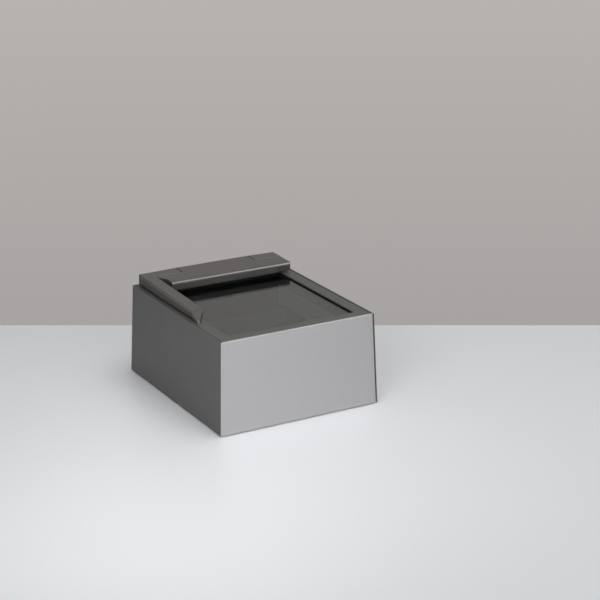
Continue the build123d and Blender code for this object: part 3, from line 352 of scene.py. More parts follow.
def makeDust(look):
    # dust: a thin film plus what specks have over their cut, times how far the surface faces up
    group, inside, outside = startGroup("settledDust", ["Amount"], ["Mask"])
    coord = addNode(group, "TexCoord")
    split = addNode(group, "SeparateXYZ", Vector=coord.outputs["Normal"])
    up = addMath(group, split.outputs["Z"], "MAXIMUM", 0.0)
    film = addNoise(group, look["film"], look["filmDetail"], coord.outputs["Object"], look["filmRoughness"])
    specks = addNoise(group, look["specks"], look["speckDetail"], coord.outputs["Object"])
    bright = addMath(group, specks, "SUBTRACT", look["cut"], "MAXIMUM", 0.0, "MULTIPLY", look["speckShare"])
    both = addMath(group, film, "MULTIPLY", look["filmShare"], "ADD", bright)
    mask = addMath(group, both, "MULTIPLY", up, "MULTIPLY", inside.outputs["Amount"])
    group.links.new(mask, outside.inputs["Mask"])
    return group


grainGroup, wearGroup, dustGroup = makeGrain(grainLook), makeWear(wearLook), makeDust(dustLook)
print("shader groups made")


# Finishes, one for each material slot of the record

def addMix(tree, factor, first, second):
    # first times one less factor, plus second times factor
    node = addNode(tree, "Mix")
    node.data_type = "RGBA"
    for index, value in ((0, factor), (6, first), (7, second)):  # 6 and 7 are its colours
        feed(tree, node.inputs[index], value)
    return node.outputs[2]


def addSpread(tree, factor, colour, spread):
    # factor goes from the colour less its spread to the colour plus its spread
    return addMix(tree, factor, shade(colour, 1 - spread), shade(colour, 1 + spread))


def startMaterial(name):
    # a material that holds only its output and one Principled shader
    material = bpy.data.materials.new(name)
    material.use_nodes = True
    tree = material.node_tree
    tree.nodes.clear()
    shader = addNode(tree, "BsdfPrincipled")
    addNode(tree, "OutputMaterial", Surface=shader.outputs[0])
    return material, tree, shader


plainLook = {  # what a finish has unless its own look says otherwise
    "grain": 2200.0, "drift": 26.0, "depth": 0.02, "bump": 0.5, "spread": 0.06, "glossDrift": 0.16,
    "metal": 0.0, "wear": 0.25, "wearScale": 420.0, "wearGain": 1.7, "wearLift": 0.01, "dust": 0.08,
    "dustColour": paint(150, 147, 140), "fleckSpread": 0.2, "tracks": 110.0, "fixed": {},
}


def surfaceFinish(name, look):
    # colour drifts, edges lighten, dust settles on top, grain gives the bump;
    # roughness is its value plus dust plus glossDrift times the drift less a half
    material, tree, shader = startMaterial(name)
    grain = addNode(tree, "Group", grainGroup, Scale=look["grain"], Drift=look["drift"])
    wear = addNode(tree, "Group", wearGroup, Amount=look["wear"], Scale=look["wearScale"])
    dust = addNode(tree, "Group", dustGroup, Amount=look["dust"])
    base, drift, spread = look["colour"], grain.outputs["Drift"], look["spread"]
    if "fleck" in look:  # fine metallic flecks in a silver paint, contrast raised about a half
        flecks = addNoise(tree, look["fleckScale"], 0.0)
        drift = addMath(tree, flecks, "SUBTRACT", 0.5, "MULTIPLY", look["fleck"], "ADD", 0.5)
        spread = look["fleckSpread"]
    if "pattern" in look:
        colour = look["pattern"](tree, look)
    else:
        colour = addSpread(tree, drift, base, spread)
    colour = addMix(tree, wear.outputs["Mask"], colour, shade(base, look["wearGain"], look["wearLift"], 1))
    colour = addMix(tree, dust.outputs["Mask"], colour, look["dustColour"])
    rough = addMath(tree, grain.outputs["Drift"], "SUBTRACT", 0.5, "MULTIPLY", look["glossDrift"],
                    "ADD", look["roughness"], "ADD", dust.outputs["Mask"])
    bump = addNode(tree, "Bump", Strength=look["bump"], Distance=look["depth"] * mm,
                   Height=grain.outputs["Height"])
    fed = {"Base Color": colour, "Roughness": rough, "Metallic": look["metal"], "Normal": bump.outputs[0]}
    for label, value in (fed | look["fixed"]).items():
        feed(tree, shader.inputs[label], value)
    return material


trackLook = {"turn": 60.0, "cut": 0.35, "share": 0.7, "gain": 1.9, "lift": 0.01}


def boardPattern(tree, look):
    # solder mask over copper: the sine of the distance in square Voronoi cells, cut off, gives tracks
    cells = addNode(tree, "TexVoronoi", Vector=objectPlace(tree), Scale=look["tracks"])
    cells.distance = "CHEBYCHEV"
    wave = addMath(tree, cells.outputs["Distance"], "MULTIPLY", trackLook["turn"], "SINE", 0.0)
    track = addMath(tree, wave, "GREATER_THAN", trackLook["cut"], "MULTIPLY", trackLook["share"])
    return addMix(tree, track, look["colour"], shade(look["colour"], trackLook["gain"], trackLook["lift"]))


ribbonLook = {"turn": 6283.0, "cut": 0.1, "wire": paint(168, 150, 118)}


def ribbonPattern(tree, look):
    # tinned conductors show through the film where the sine of x plus y is over the cut
    split = addNode(tree, "SeparateXYZ", Vector=objectPlace(tree))
    across = addMath(tree, split.outputs["X"], "ADD", split.outputs["Y"])
    wave = addMath(tree, across, "MULTIPLY", ribbonLook["turn"], "SINE", 0.0)
    stripe = addMath(tree, wave, "GREATER_THAN", ribbonLook["cut"])
    return addMix(tree, stripe, look["colour"], ribbonLook["wire"])


brushedLook = {"stretch": (0.03, 1.0, 1.0), "scale": 3500.0, "detail": 2.0, "dark": 0.75, "light": 1.2}


def brushedPattern(tree, look):
    # long fine scratches along x: a noise whose x is shrunk
    place = addNode(tree, "Mapping", Vector=objectPlace(tree), Scale=brushedLook["stretch"]).outputs[0]
    lines = addNoise(tree, brushedLook["scale"], brushedLook["detail"], place)
    light = shade(look["colour"], brushedLook["light"], most=1)
    return addMix(tree, lines, shade(look["colour"], brushedLook["dark"]), light)


smearLook = {"detail": 4.0, "tint": 0.97, "cut": 0.45, "haze": 0.1}


def glassFinish(name, look):
    # clear glass: faint smears change only its gloss, Metallic and Transmission Weight stay plain
    material, tree, shader = startMaterial(name)
    smear = addNoise(tree, look["smear"], smearLook["detail"])
    tint = addMix(tree, smear, look["colour"], shade(look["colour"], smearLook["tint"]))
    rough = addMath(tree, smear, "SUBTRACT", smearLook["cut"], "MAXIMUM", 0.0, "MULTIPLY", smearLook["haze"])
    tree.links.new(tint, shader.inputs["Base Color"])
    tree.links.new(rough, shader.inputs["Roughness"])
    shader.inputs["Metallic"].default_value = 0.0
    shader.inputs["Transmission Weight"].default_value = 1.0
    shader.inputs["IOR"].default_value = look["ior"]
    shader.inputs["Specular IOR Level"].default_value = look["specular"]
    return material


def finish(red, green, blue, roughness, **extra):
    # one look: what a plain finish has, changed by what is named here
    return plainLook | {"colour": paint(red, green, blue), "roughness": roughness} | extra


looks = {
    "housing_paint": finish(79, 78, 78, 0.46, grain=2600.0, depth=0.03),
    "front_silver": finish(171, 170, 172, 0.4, grain=3000.0, depth=0.01, bump=0.4, metal=0.35, fleck=2.2,
                           fleckScale=5200.0),
    "tray_plastic": finish(46, 46, 47, 0.55, grain=1500.0, depth=0.04),
    "bezel_plastic": finish(78, 79, 76, 0.5, depth=0.03),
    "hood_plastic": finish(58, 56, 55, 0.5, depth=0.03),
    "cover_plastic": finish(74, 71, 70, 0.31, grain=2400.0, glossDrift=0.06),
    "foot_rubber": finish(30, 30, 31, 0.8, grain=1200.0, depth=0.05, dust=0.15),
    "pad_foam": finish(38, 38, 40, 0.95, grain=1300.0, depth=0.25, bump=1.0, spread=0.3,
                       fixed={"Sheen Weight": 0.3, "Sheen Roughness": 0.6}),
    "chamber_black": finish(26, 26, 27, 0.85, grain=1700.0),
    "board_green": finish(18, 66, 40, 0.35, pattern=boardPattern, depth=0.01),
    "board_white": finish(200, 202, 198, 0.4, pattern=boardPattern, tracks=160.0),
    "lamp_epoxy": finish(222, 206, 120, 0.25, depth=0.005, dust=0.0),
    "diffuser_white": finish(226, 228, 228, 0.6, fixed={"Transmission Weight": 0.25, "IOR": 1.49}),
    "chip_black": finish(36, 36, 38, 0.6, grain=3000.0),
    "can_metal": finish(188, 188, 192, 0.3, depth=0.01, metal=0.9),
    "ribbon_film": finish(150, 92, 34, 0.35, pattern=ribbonPattern, depth=0.005),
    "connector_ivory": finish(212, 204, 184, 0.5),
    "socket_metal": finish(176, 177, 180, 0.28, pattern=brushedPattern, metal=1.0),
    "socket_black": finish(28, 28, 29, 0.45),
    "contact_brass": finish(208, 168, 92, 0.25, depth=0.01, metal=1.0),
    "plate_steel": finish(150, 151, 154, 0.36, pattern=brushedPattern, metal=1.0),
    "screw_steel": finish(138, 138, 142, 0.32, depth=0.01, metal=1.0),
    "pin_steel": finish(172, 172, 176, 0.22, pattern=brushedPattern, metal=1.0),
    "spring_steel": finish(160, 158, 154, 0.25, depth=0.01, metal=1.0),
    "mirror_silver": finish(120, 124, 130, 0.02, glossDrift=0.02, depth=0.0, dust=0.03, metal=1.0),
}
glassLooks = {
    "window_glass": {"colour": paint(150, 160, 158), "ior": 1.5, "specular": 0.2, "smear": 40.0},
    "lens_glass": {"colour": paint(214, 222, 240), "ior": 1.6, "specular": 0.5, "smear": 300.0},
}
finishes = {name: surfaceFinish(name, look) for name, look in looks.items()}
finishes |= {name: glassFinish(name, look) for name, look in glassLooks.items()}

record = frame["record"]
slotOf = {entry["node"]: entry["material_slot"] for entry in record["subparts"]}
bodyOf = {node: body for body, names in record["behaviour"]["bodies"].items() for node in names}
for nodeName, slotName in slotOf.items():
    for materialSlot in nodes[nodeName].material_slots:
        materialSlot.material = finishes[slotName]
print("finishes made:", len(finishes))


# Moulded and folded pieces: the CAD form with its edges rounded

roundedLook = {
    "angle": 38, "acute": 112, "flat": 0.6, "weld": 0.002, "faceShare": 2.4, "spikeShare": 0.8,
    "longEdge": 14, "segments": 3, "profile": 0.5, "corners": 4,
    "radius": {
        "side_housing": 0.3, "front_panel": 0.3, "top_bezel": 0.15, "base_tray": 0.3, "hood_base": 0.3,
        "hood_cover": 0.4, "hood_end_cover": 0.3, "flap": 0.25, "optics_chamber": 0.25, "usb_socket": 0.2,
        "power_socket": 0.2, "socket_plate": 0.15, "mirror_cradle": 0.25, "camera_bracket": 0.25,
        "lens_barrel": 0.15, "ribbon_connectors": 0.2,
    },
}


def hasRoom(edge, need):
    # both faces reach further than the need, measured along face normal cross edge
    start = edge.verts[0].co
    along = (edge.verts[1].co - start).normalized()
    ways = [(face, face.normal.cross(along)) for face in edge.link_faces]
    return all(max(abs((vert.co - start).dot(across)) for vert in face.verts) > need for face, across in ways)


cornerLook = {
    "nodes": ("hood_base", "hood_cover", "hood_end_cover"),
    "halfWidth": 75.5, "rear": 93.75, "radius": 7.0, "edge": 1.2, "top": 100.7,
}


def softenCorner(mesh, look):
    # points outside the corner's arc in plan move in to it, the top falls towards it as a quarter round
    places = meshVectors(mesh.vertices, "co")
    radius = look["radius"] * mm
    centre = np.array([look["halfWidth"] * mm - radius, look["rear"] * mm - radius])
    side = np.sign(places[:, :1]) * (1, 0) + (0, 1)
    out = places[:, :2] * side - centre
    reach = np.linalg.norm(out, axis=1)
    corner = (out > 0).all(1)
    share = np.minimum(1, radius / np.maximum(reach, weld))
    near = np.clip(1 - (radius - reach) / (look["edge"] * mm), 0, 1)
    limit = (look["top"] - look["edge"] * (1 - np.sqrt(1 - near ** 2))) * mm
    places[corner, :2] = ((centre + out * share[:, None]) * side)[corner]
    places[corner, 2] = np.minimum(places[corner, 2], limit[corner])
    mesh.vertices.foreach_set("co", places.ravel())


# silver on the left wall's front end only, where the light falls: part real silver wrap, part painted
# highlight; the right wall's end keeps the dark paint as painted shade
litSideSilverEnd = {"node": "side_housing", "slot": "front_silver", "left": -75.0, "ahead": -85.0, "facing": -0.3}


def paintLitSideSilver(mesh, look):
    # silver on the left wall's front end only, partly the panel's real silver wrap and partly a painted
    # highlight on the lit side: faces left and ahead of two places that face front
    mesh.materials.append(finishes[look["slot"]])
    middles, normals = meshVectors(mesh.polygons, "center") / mm, meshVectors(mesh.polygons, "normal")
    there = (middles[:, 0] < look["left"]) & (middles[:, 1] < look["ahead"])
    painted = there & (normals[:, 1] < look["facing"])
    mesh.polygons.foreach_set("material_index", painted.astype(np.int32))


def roundedCopy(node, radius, look):
    # triangles become whole faces, sharp edges quarter rounds that carry the edge mark
    mesh = nodes[node].data.copy()
    bm = bmesh.new()
    bm.from_mesh(mesh)
    surface = BVHTree.FromBMesh(bm)
    layer = bm.faces.layers.float.new("edge")
    bmesh.ops.remove_doubles(bm, verts=bm.verts, dist=look["weld"] * mm)
    bmesh.ops.dissolve_limit(bm, angle_limit=radians(look["flat"]), verts=bm.verts, edges=bm.edges)
    least, most = radians(look["angle"]), radians(look["acute"])
    creases = [(edge, edge.calc_face_angle(0)) for edge in bm.edges if len(edge.link_faces) == 2]
    pointed = {vert for edge, turn in creases if turn >= most for vert in edge.verts}
    sharp = [edge for edge, turn in creases  # a short edge at a pointed vertex stays as it is
             if (edge.calc_length() > look["longEdge"] * mm or not pointed.intersection(edge.verts))
             and least < turn < most and hasRoom(edge, radius * look["faceShare"])]
    made = bmesh.ops.bevel(bm, geom=sharp, offset=radius, offset_type="OFFSET", segments=look["segments"],
                           profile=look["profile"], affect="EDGES", clamp_overlap=False, loop_slide=True)
    for face in made["faces"]:
        face[layer] = 1.0
    for vert in bm.verts:  # a corner that overshoots goes back onto the form
        place, _, _, away = surface.find_nearest(vert.co)
        if away > radius * look["spikeShare"]:
            vert.co = place
    bmesh.ops.triangulate(bm, faces=[face for face in bm.faces if len(face.verts) > look["corners"]])
    bm.to_mesh(mesh)
    bm.free()
    if node in cornerLook["nodes"]:
        softenCorner(mesh, cornerLook)
    smoothByAngle(mesh, look["angle"])
    mesh.materials.clear()
    mesh.materials.append(finishes[slotOf[node]])
    # the lit left end takes the silver finish as a painted highlight over the real silver wrap
    if node == litSideSilverEnd["node"]:
        paintLitSideSilver(mesh, litSideSilverEnd)
    piece = addObject(node + "_rounded", mesh)
    even = piece.modifiers.new("even", "WEIGHTED_NORMAL")
    even.keep_sharp = True
    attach(piece, bodyOf[node])
    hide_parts(node)


for nodeName, roundRadius in roundedLook["radius"].items():
    roundedCopy(nodeName, roundRadius * mm, roundedLook)
print("rounded pieces made:", len(roundedLook["radius"]))


# Screws

screwLook = {
    "segments": 24, "pitch": 0.5, "threadDepth": 0.16, "turnsPerRow": 0.2, "neck": 0.3,
    "lobes": 6, "lobeDepth": 0.16, "driveShare": 0.46, "floorShare": 0.6, "driveDepth": 0.75,
    "headEdge": 0.35, "tip": 0.6, "tipStart": 0.4, "tipShare": 0.55,
    "kinds": {  # node: (direction of the shank, head radius, head height, shank radius)
        "base_screws": ((0, 0, 1), 2.3, 1.6, 1.25), "front_panel_screws": ((0, -1, 0), 2.3, 1.6, 1.25),
        "bezel_screws": ((0, 0, 1), 1.9, 1.3, 1.0), "chamber_screws": ((0, 0, 1), 1.9, 1.3, 1.0),
        "camera_bracket_screws": ((0, 1, 0), 1.9, 1.3, 1.0), "main_board_screws": ((0, 0, -1), 1.9, 1.3, 1.0),
        "socket_plate_screws": ((0, 1, 0), 1.9, 1.3, 1.0), "cover_screws": ((0, 0, 1), 2.3, 1.6, 1.25),
        "hood_screws": ((0, 0, 1), 2.3, 1.6, 1.25),
    },
}


def panScrew(headRadius, headHeight, shankRadius, length, look):
    # rows from the drive's floor over the head, down the thread and to the tip; z = 0 is the head's seat
    turn = fullTurn(look["segments"])
    drive = headRadius * look["driveShare"] * (1 + look["lobeDepth"] * np.cos(look["lobes"] * turn))
    edge, floor = look["headEdge"], look["driveDepth"] - headHeight
    core = shankRadius - look["threadDepth"]
    rows = [(0, floor), (drive * look["floorShare"], floor), (drive, floor), (drive, -headHeight)]
    rows += [(r, h - headHeight) for r, h in rim(headRadius, edge, 4)] + [(headRadius, 0), (shankRadius, 0)]
    for h in np.arange(look["neck"], length - look["tip"], look["pitch"] * look["turnsPerRow"]):
        phase = (h / look["pitch"] - turn / (2 * pi)) % 1  # the ridge follows height / pitch - angle
        rows.append((core + look["threadDepth"] * (1 - np.abs(2 * phase - 1)), h))
    rows += [(core * look["tipShare"], length - look["tip"] * look["tipStart"]), (0, length)]
    radius, height = (np.array([row[k] + 0 * turn for row in rows]) for k in (0, 1))
    points = np.stack([radius * np.cos(turn), radius * np.sin(turn), height], -1) * mm
    return points, gridFaces(len(rows), len(turn))


for nodeName, (direction, headRadius, headHeight, shankRadius) in screwLook["kinds"].items():
    axis = np.array(direction, float)
    parts = []
    for low, high in looseBoxes(nodeName):
        length = abs((high - low) @ axis) / mm - headHeight
        seat = (low + high) / 2 - axis * (length - headHeight) / 2 * mm
        parts.append(turned(panScrew(headRadius, headHeight, shankRadius, length, screwLook), seat, axis))
    addPiece(nodeName + "_threaded", parts, "screw_steel", nodeName)
print("screws made")


# Feet and bumpers

footLook = {
    "edge": 0.5, "cup": 0.25, "cupFloor": 1.8, "cupRim": 2.1, "backEdge": 0.15,
    "grooves": (3.2, 5.2), "grooveDepth": 0.35, "grooveRim": 0.35, "grooveFloor": 0.2,
}


def footProfile(r, h, look):
    # shallow cup, two grooves, rounded rim, straight side, flat back
    edge, back = look["edge"], look["backEdge"]
    groove = [(look["grooveRim"], 0), (look["grooveFloor"], look["grooveDepth"])]
    profile = [(0, look["cup"]), (look["cupFloor"], look["cup"]), (look["cupRim"], 0)]
    for middle in look["grooves"]:
        profile += [(middle - x, y) for x, y in groove] + [(middle + x, y) for x, y in groove[::-1]]
    return profile + rim(r, edge, 5) + [(r, h - back), (r - back, h), (0, h)]


feet = lathedSolids("rubber_feet", footProfile, footLook, 48)
addPiece("rubber_feet_grooved", feet, "foot_rubber", "rubber_feet")

bumperLook = {"straight": 0.35, "firstAngle": 0.15, "steps": 8}


def bumperProfile(r, h, look):
    # flat foot, straight side up to its share of the height, then a dome of sine and cosine
    straight = h * look["straight"]
    angles = quarter(look["steps"], look["firstAngle"])
    dome = [(r * cos(t), straight + (h - straight) * sin(t)) for t in angles]
    return [(0, 0), (r, 0), (r, straight)] + dome


bumpers = lathedSolids("flap_bumpers", bumperProfile, bumperLook, 32)
addPiece("flap_bumpers_domed", bumpers, "foot_rubber", "flap_bumpers")
print("feet and bumpers made")


# Flap springs: torsion springs between the two bodies, each built as one wire that belongs to neither

springLook = {
    "wire": 0.35, "coil": 2.6, "turns": 5.5, "inset": 0.6, "perTurn": 28, "around": 10, "legSteps": 7,
    "legGap": 0.07, "up": (1, 0, 0.001),
}
hinge = record["behaviour"]["joints"][0]["pos_m"]


def torsionSpring(low, high, look):
    # leg up from below, helix of constant pitch about the hinge, leg up into the flap, as one round wire
    x0, x1 = low[0] + look["inset"] * mm, high[0] - look["inset"] * mm
    r, gap, steps = look["coil"] * mm, look["legGap"] * mm, look["legSteps"]
    turn = np.linspace(0, 2 * pi * look["turns"], int(look["perTurn"] * look["turns"]))
    x = x0 + (x1 - x0) * turn / turn[-1]
    helix = np.column_stack([x, hinge[1] + r * np.cos(turn), hinge[2] + r * np.sin(turn)])
    below = np.linspace(low[2] + gap, hinge[2], steps + 1)[:-1]
    above = np.linspace(hinge[2], high[2] - gap, steps + 1)[1:]
    fixed = np.column_stack([np.full((steps, 2), (x0, hinge[1] + r)), below])
    moving = np.column_stack([np.full((steps, 2), (x1, hinge[1] - r)), above])
    path = np.concatenate([fixed, helix, moving])
    return sweep(path, circle(look["wire"] * mm, look["around"]), up=look["up"]), x0, x1


for count, (low, high) in enumerate(looseBoxes("flap_springs")):
    part, x0, x1 = torsionSpring(low, high, springLook)
    spring = addPiece(f"flap_spring_{count + 1}", [part], "spring_steel", "flap_springs", body=None)
    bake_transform(spring)
print("springs made")


# Foam pad under the flap

padLook = {
    "edge": 0.8, "crown": 0.25, "columns": 120, "rows": 24, "crowdX": 1.6, "crowdY": 1.3, "slope": 1.36,
    "bulge": 0.5,
}


def foamPad(low, high, look):
    # round rims, an under side that bulges as the root of two cosines, and a top with the CAD's slope
    half, middle = (high - low) / 2, (low + high) / 2
    u = np.linspace(-1, 1, look["columns"])[:, None]
    v = np.linspace(-1, 1, look["rows"])[None, :]
    edge = look["edge"] * mm
    crowdedU = np.sign(u) * (1 - (1 - np.abs(u)) ** look["crowdX"])  # rows crowd towards the rims
    crowdedV = np.sign(v) * (1 - (1 - np.abs(v)) ** look["crowdY"])
    x = middle[0] + half[0] * crowdedU * np.ones_like(v)
    y = middle[1] + half[1] * crowdedV * np.ones_like(u)
    side = np.minimum(half[0] - np.abs(x - middle[0]), half[1] - np.abs(y - middle[1]))
    lift = edge * (1 - np.sqrt(1 - (1 - np.clip(side / edge, 0, 1)) ** 2))
    top = high[2] - (high[1] - y) * tan(radians(look["slope"])) - lift
    bulge = (np.cos(u * pi / 2) * np.cos(v * pi / 2)) ** look["bulge"]
    under = low[2] + look["crown"] * mm * (1 - bulge) + lift
    rows, columns = top.shape
    points = np.concatenate([np.stack([x, y, z], -1).reshape(-1, 3) for z in (top, under)])
    upperFaces = np.array(gridFaces(rows, columns, closedColumns=False))
    lowerFaces = upperFaces[:, ::-1] + rows * columns
    grid = np.arange(rows * columns).reshape(rows, columns)
    ring = np.concatenate([grid[0], grid[1:, -1], grid[-1, -2::-1], grid[-2:0:-1, 0]])
    nextRing = np.roll(ring, -1)
    wall = np.stack([ring, nextRing, nextRing + rows * columns, ring + rows * columns], -1)
    return points, np.concatenate([upperFaces, lowerFaces, wall]).tolist()


foam = foamPad(*np.array(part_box("flap_pad")), padLook)
pad = addPiece("flap_pad_foam", [foam], "pad_foam", "flap_pad", "flap")
print("pad made")


# Gasket round the glass: a soft bead with a rounded section

gasketLook = {"overlap": 3.0, "setback": 0.5, "corner": 1.5, "steps": 8, "around": 20, "power": 0.45}


def gasketBead(low, high, look):
    # a section of cosine and sine to a low power, a flattened oval, carried round a rounded rectangle
    halfWidth = (look["overlap"] - look["setback"]) / 2 * mm
    middle, half = (low + high) / 2, (high - low) / 2
    ring = roundedRectangle(half[0] - halfWidth, half[1] - halfWidth, look["corner"] * mm, look["steps"])
    path = np.column_stack([ring + middle[:2], np.full(len(ring), middle[2])])
    oval = circle(1, look["around"])
    section = np.sign(oval) * np.abs(oval) ** look["power"] * (halfWidth, half[2])
    return sweep(path, section, closed=True)


bead = gasketBead(*np.array(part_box("glass_gasket")), gasketLook)
addPiece("glass_gasket_bead", [bead], "foot_rubber", "glass_gasket")
print("gasket made")


# Boards: chips with leads, capacitors, lamps, small parts, the antenna and the diffusers

chipLook = {
    "leadWidth": 0.35, "leadPitch": 0.9, "leadReach": 0.9, "leadThickness": 0.14, "body": 0.3, "lift": 0.12,
    "leadRise": 0.45, "square": 0.9,
    "leadShape": ((-0.25, 0), (0.25, 0), (0.5, -0.5), (0.7, -0.95), (1.0, -1.0)),
}


def chipLead(start, out, look, drop):
    # gull wing: the shape's first numbers times reach go out, its second ones times drop go up
    steps = np.array(look["leadShape"])
    path = np.array(start) + steps[:, :1] * look["leadReach"] * mm * out + steps[:, 1:] * drop * (0, 0, 1)
    return sweep(path, strip(look["leadWidth"] / 2 * mm, look["leadThickness"] / 2 * mm))


parts, leads = [], []
for low, high in looseBoxes("board_chips"):
    size = high - low
    inset = chipLook["leadReach"] * mm
    bodyLow = low + (inset, inset, chipLook["lift"] * mm)
    bodyHigh = high - (inset, inset, 0)
    parts.append(slab(bodyLow, bodyHigh, chipLook["body"] * mm))
    rise = low[2] + size[2] * chipLook["leadRise"]
    drop = rise - low[2] - chipLook["leadThickness"] / 2 * mm
    for axisIndex in (0, 1):
        if axisIndex == 1 and size[0] < size[1] * chipLook["square"]:
            continue  # memory chips have leads on their long sides only
        span = (bodyHigh - bodyLow)[1 - axisIndex]
        leadCount = int(span / (chipLook["leadPitch"] * mm)) - 1
        for side in (-1, 1):
            for shift in (np.arange(leadCount) - (leadCount - 1) / 2) * chipLook["leadPitch"] * mm:
                start = (low + high) / 2
                start[axisIndex] = (bodyHigh if side > 0 else bodyLow)[axisIndex]
                start[1 - axisIndex] += shift
                start[2] = rise
                leads.append(chipLead(start, np.eye(3)[axisIndex] * side, chipLook, drop))
addPiece("board_chip_bodies", parts, "chip_black", "board_chips")
addPiece("board_chip_leads", leads, "can_metal", "board_chips", smooth=False)

capacitorLook = {
    "foot": 0.2, "bead": 0.25, "beadHeight": 1.4, "beadReach": 0.5, "edge": 0.5, "ventDepth": 0.12,
    "ventSlope": 0.3, "steps": 6,
}


def canProfile(r, h, look):
    # foot, straight side with a squared sine pressed in, round rim, sunk vent
    foot, at, reach, edge = look["foot"], look["beadHeight"], look["beadReach"], look["edge"]
    profile = [(0, 0), (r - foot, 0), (r, foot), (r, at - reach)]
    for t in np.linspace(foot, pi - foot, look["steps"]):
        profile.append((r - look["bead"] * sin(t) ** 2, at - reach + t / pi))
    profile.append((r, at + reach))
    profile += [(x, h - y) for x, y in rim(r, edge, look["steps"])[::-1]]
    return profile + [(r - edge - look["ventSlope"], h - look["ventDepth"]), (0, h - look["ventDepth"])]


cans = lathedSolids("board_capacitors", canProfile, capacitorLook, 40)
addPiece("board_capacitor_cans", cans, "can_metal", "board_capacitors")

lampLook = {"dome": 0.42, "base": 0.45, "edge": 0.12, "steps": 9}
lampBases, lampDomes = [], []
for low, high in looseBoxes("light_board_lamps"):
    side = -1 if low[0] > 0 else 1  # the lamps look inwards from both side walls
    size, middle = high - low, (low + high) / 2
    base, r = size[0] * lampLook["base"], size[1] * lampLook["dome"]
    seat = (high[0] if side < 0 else low[0]) + side * base
    baseLow, baseHigh = low.copy(), high.copy()
    (baseLow if side < 0 else baseHigh)[0] = seat
    lampBases.append(slab(baseLow, baseHigh, lampLook["edge"] * mm))
    dome = [(0, 0)] + [(r * cos(t), (size[0] - base) * sin(t)) for t in quarter(lampLook["steps"])]
    lampDomes.append(turned(lathe(dome, 24), (seat, middle[1], middle[2]), (side, 0, 0)))
addPiece("light_board_lamp_bases", lampBases, "board_white", "light_board_lamps")
addPiece("light_board_lamp_domes", lampDomes, "lamp_epoxy", "light_board_lamps")

passiveLook = {
    "rows": (-32.0, 36.0, 44.0), "count": 11, "pitch": 5.5, "size": (1.6, 0.8, 0.5), "cap": 0.35,
    "capShare": 0.8, "round": 0.08,
}


def passives(boardTop, look):
    # even rows of small chip parts: a slightly smaller body between two tinned end caps
    size, edge = np.array(look["size"]) * mm, look["round"] * mm
    cap = np.array([look["cap"] * mm, 0, 0])
    inset = cap * look["capShare"]
    bodies, caps = [], []
    for y in look["rows"]:
        for x in (np.arange(look["count"]) - (look["count"] - 1) / 2) * look["pitch"]:
            low = np.array([x, y, 0]) * mm - size / 2
            low[2] = boardTop
            high = low + size
            bodies.append(slab(low + inset + (0, edge / 2, 0), high - inset - (0, edge / 2, edge / 2), edge))
            caps.append(slab(low, high - (size[0] - cap[0], 0, 0), edge))
            caps.append(slab(low + (size[0] - cap[0], 0, 0), high, edge))
    return bodies, caps


bodies, caps = passives(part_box("main_board")[1][2], passiveLook)
addPiece("board_passive_bodies", bodies, "chip_black")
addPiece("board_passive_caps", caps, "can_metal")

antennaLook = {
    "turns": 4, "pitch": 0.62, "width": 0.34, "rise": 0.04, "corner": 3.0, "inset": 0.5, "perTurn": 96,
}


def antennaCoil(low, high, look):
    # a rounded rectangle whose half sides shrink by one pitch per turn, as one flat track under the board
    count = look["turns"] * look["perTurn"]
    turn = np.arange(count) / look["perTurn"]
    inset = (look["inset"] + look["width"] / 2 + turn * look["pitch"]) * mm
    half = ((high - low) / 2)[:2]
    unit = roundedRectangle(half[0], half[1], look["corner"] * mm, look["perTurn"] // 4)
    ring = np.tile(unit, (look["turns"], 1))[:count] * (half - inset[:, None]) / half
    path = np.column_stack([(low + high)[:2] / 2 + ring, np.full(count, low[2])])
    return sweep(path, strip(look["width"] / 2 * mm, look["rise"] * mm))


coil = antennaCoil(*np.array(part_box("antenna_ring")), antennaLook)
addPiece("antenna_coil", [coil], "contact_brass")

diffuserLook = {"ribs": 16, "perRib": 8, "ribDepth": 0.18, "along": 9, "sharpAngle": 60}


def ribbedDiffuser(low, high, look):
    # a plate's section, its inner face rippled as a cosine of height, carried along y
    side = -1 if low[0] > 0 else 1
    half = (high - low) / 2
    z = np.linspace(-1, 1, look["ribs"] * look["perRib"] + 1)
    ripple = half[0] - look["ribDepth"] / 2 * mm * (1 - np.cos(pi * look["ribs"] * (z + 1)))
    back = [(-side * half[0], half[2]), (-side * half[0], -half[2])]
    section = np.concatenate([np.column_stack([side * ripple, z * half[2]]), back])
    path = (low + high) / 2 + [[0, y, 0] for y in np.linspace(-half[1], half[1], look["along"])]
    return sweep(path, section)


plates = [ribbedDiffuser(low, high, diffuserLook) for low, high in looseBoxes("light_diffusers")]
addPiece("light_diffusers_ribbed", plates, "diffuser_white", "light_diffusers",
         sharpAngle=diffuserLook["sharpAngle"])
print("board pieces made")


# Camera and hinge: a domed lens, the sensor's package with its window, and the hinge pins

opticLook = {
    "dome": 0.66, "edge": 0.12, "capSteps": 12, "sensorLid": 0.25, "lidInset": 0.9, "sensorEdge": 0.25,
    "edgeShare": 0.9,
}


def faceAxis(nodeName):
    # the direction of the node's largest flat face, taken towards the mirror
    face = max(nodes[nodeName].data.polygons, key=lambda polygon: polygon.area)
    return np.array(face.normal) * (1 if face.normal.y > 0 else -1)


def alongAxis(nodeName, axis):
    # the node's lowest place along the axis, its reach from there, and half its width in x
    places = meshVectors(nodes[nodeName].data.vertices, "co")
    reach = places @ axis
    middle = (places.min(0) + places.max(0)) / 2
    return middle + axis * (reach.min() - middle @ axis), np.ptp(reach), np.ptp(places[:, 0]) / 2


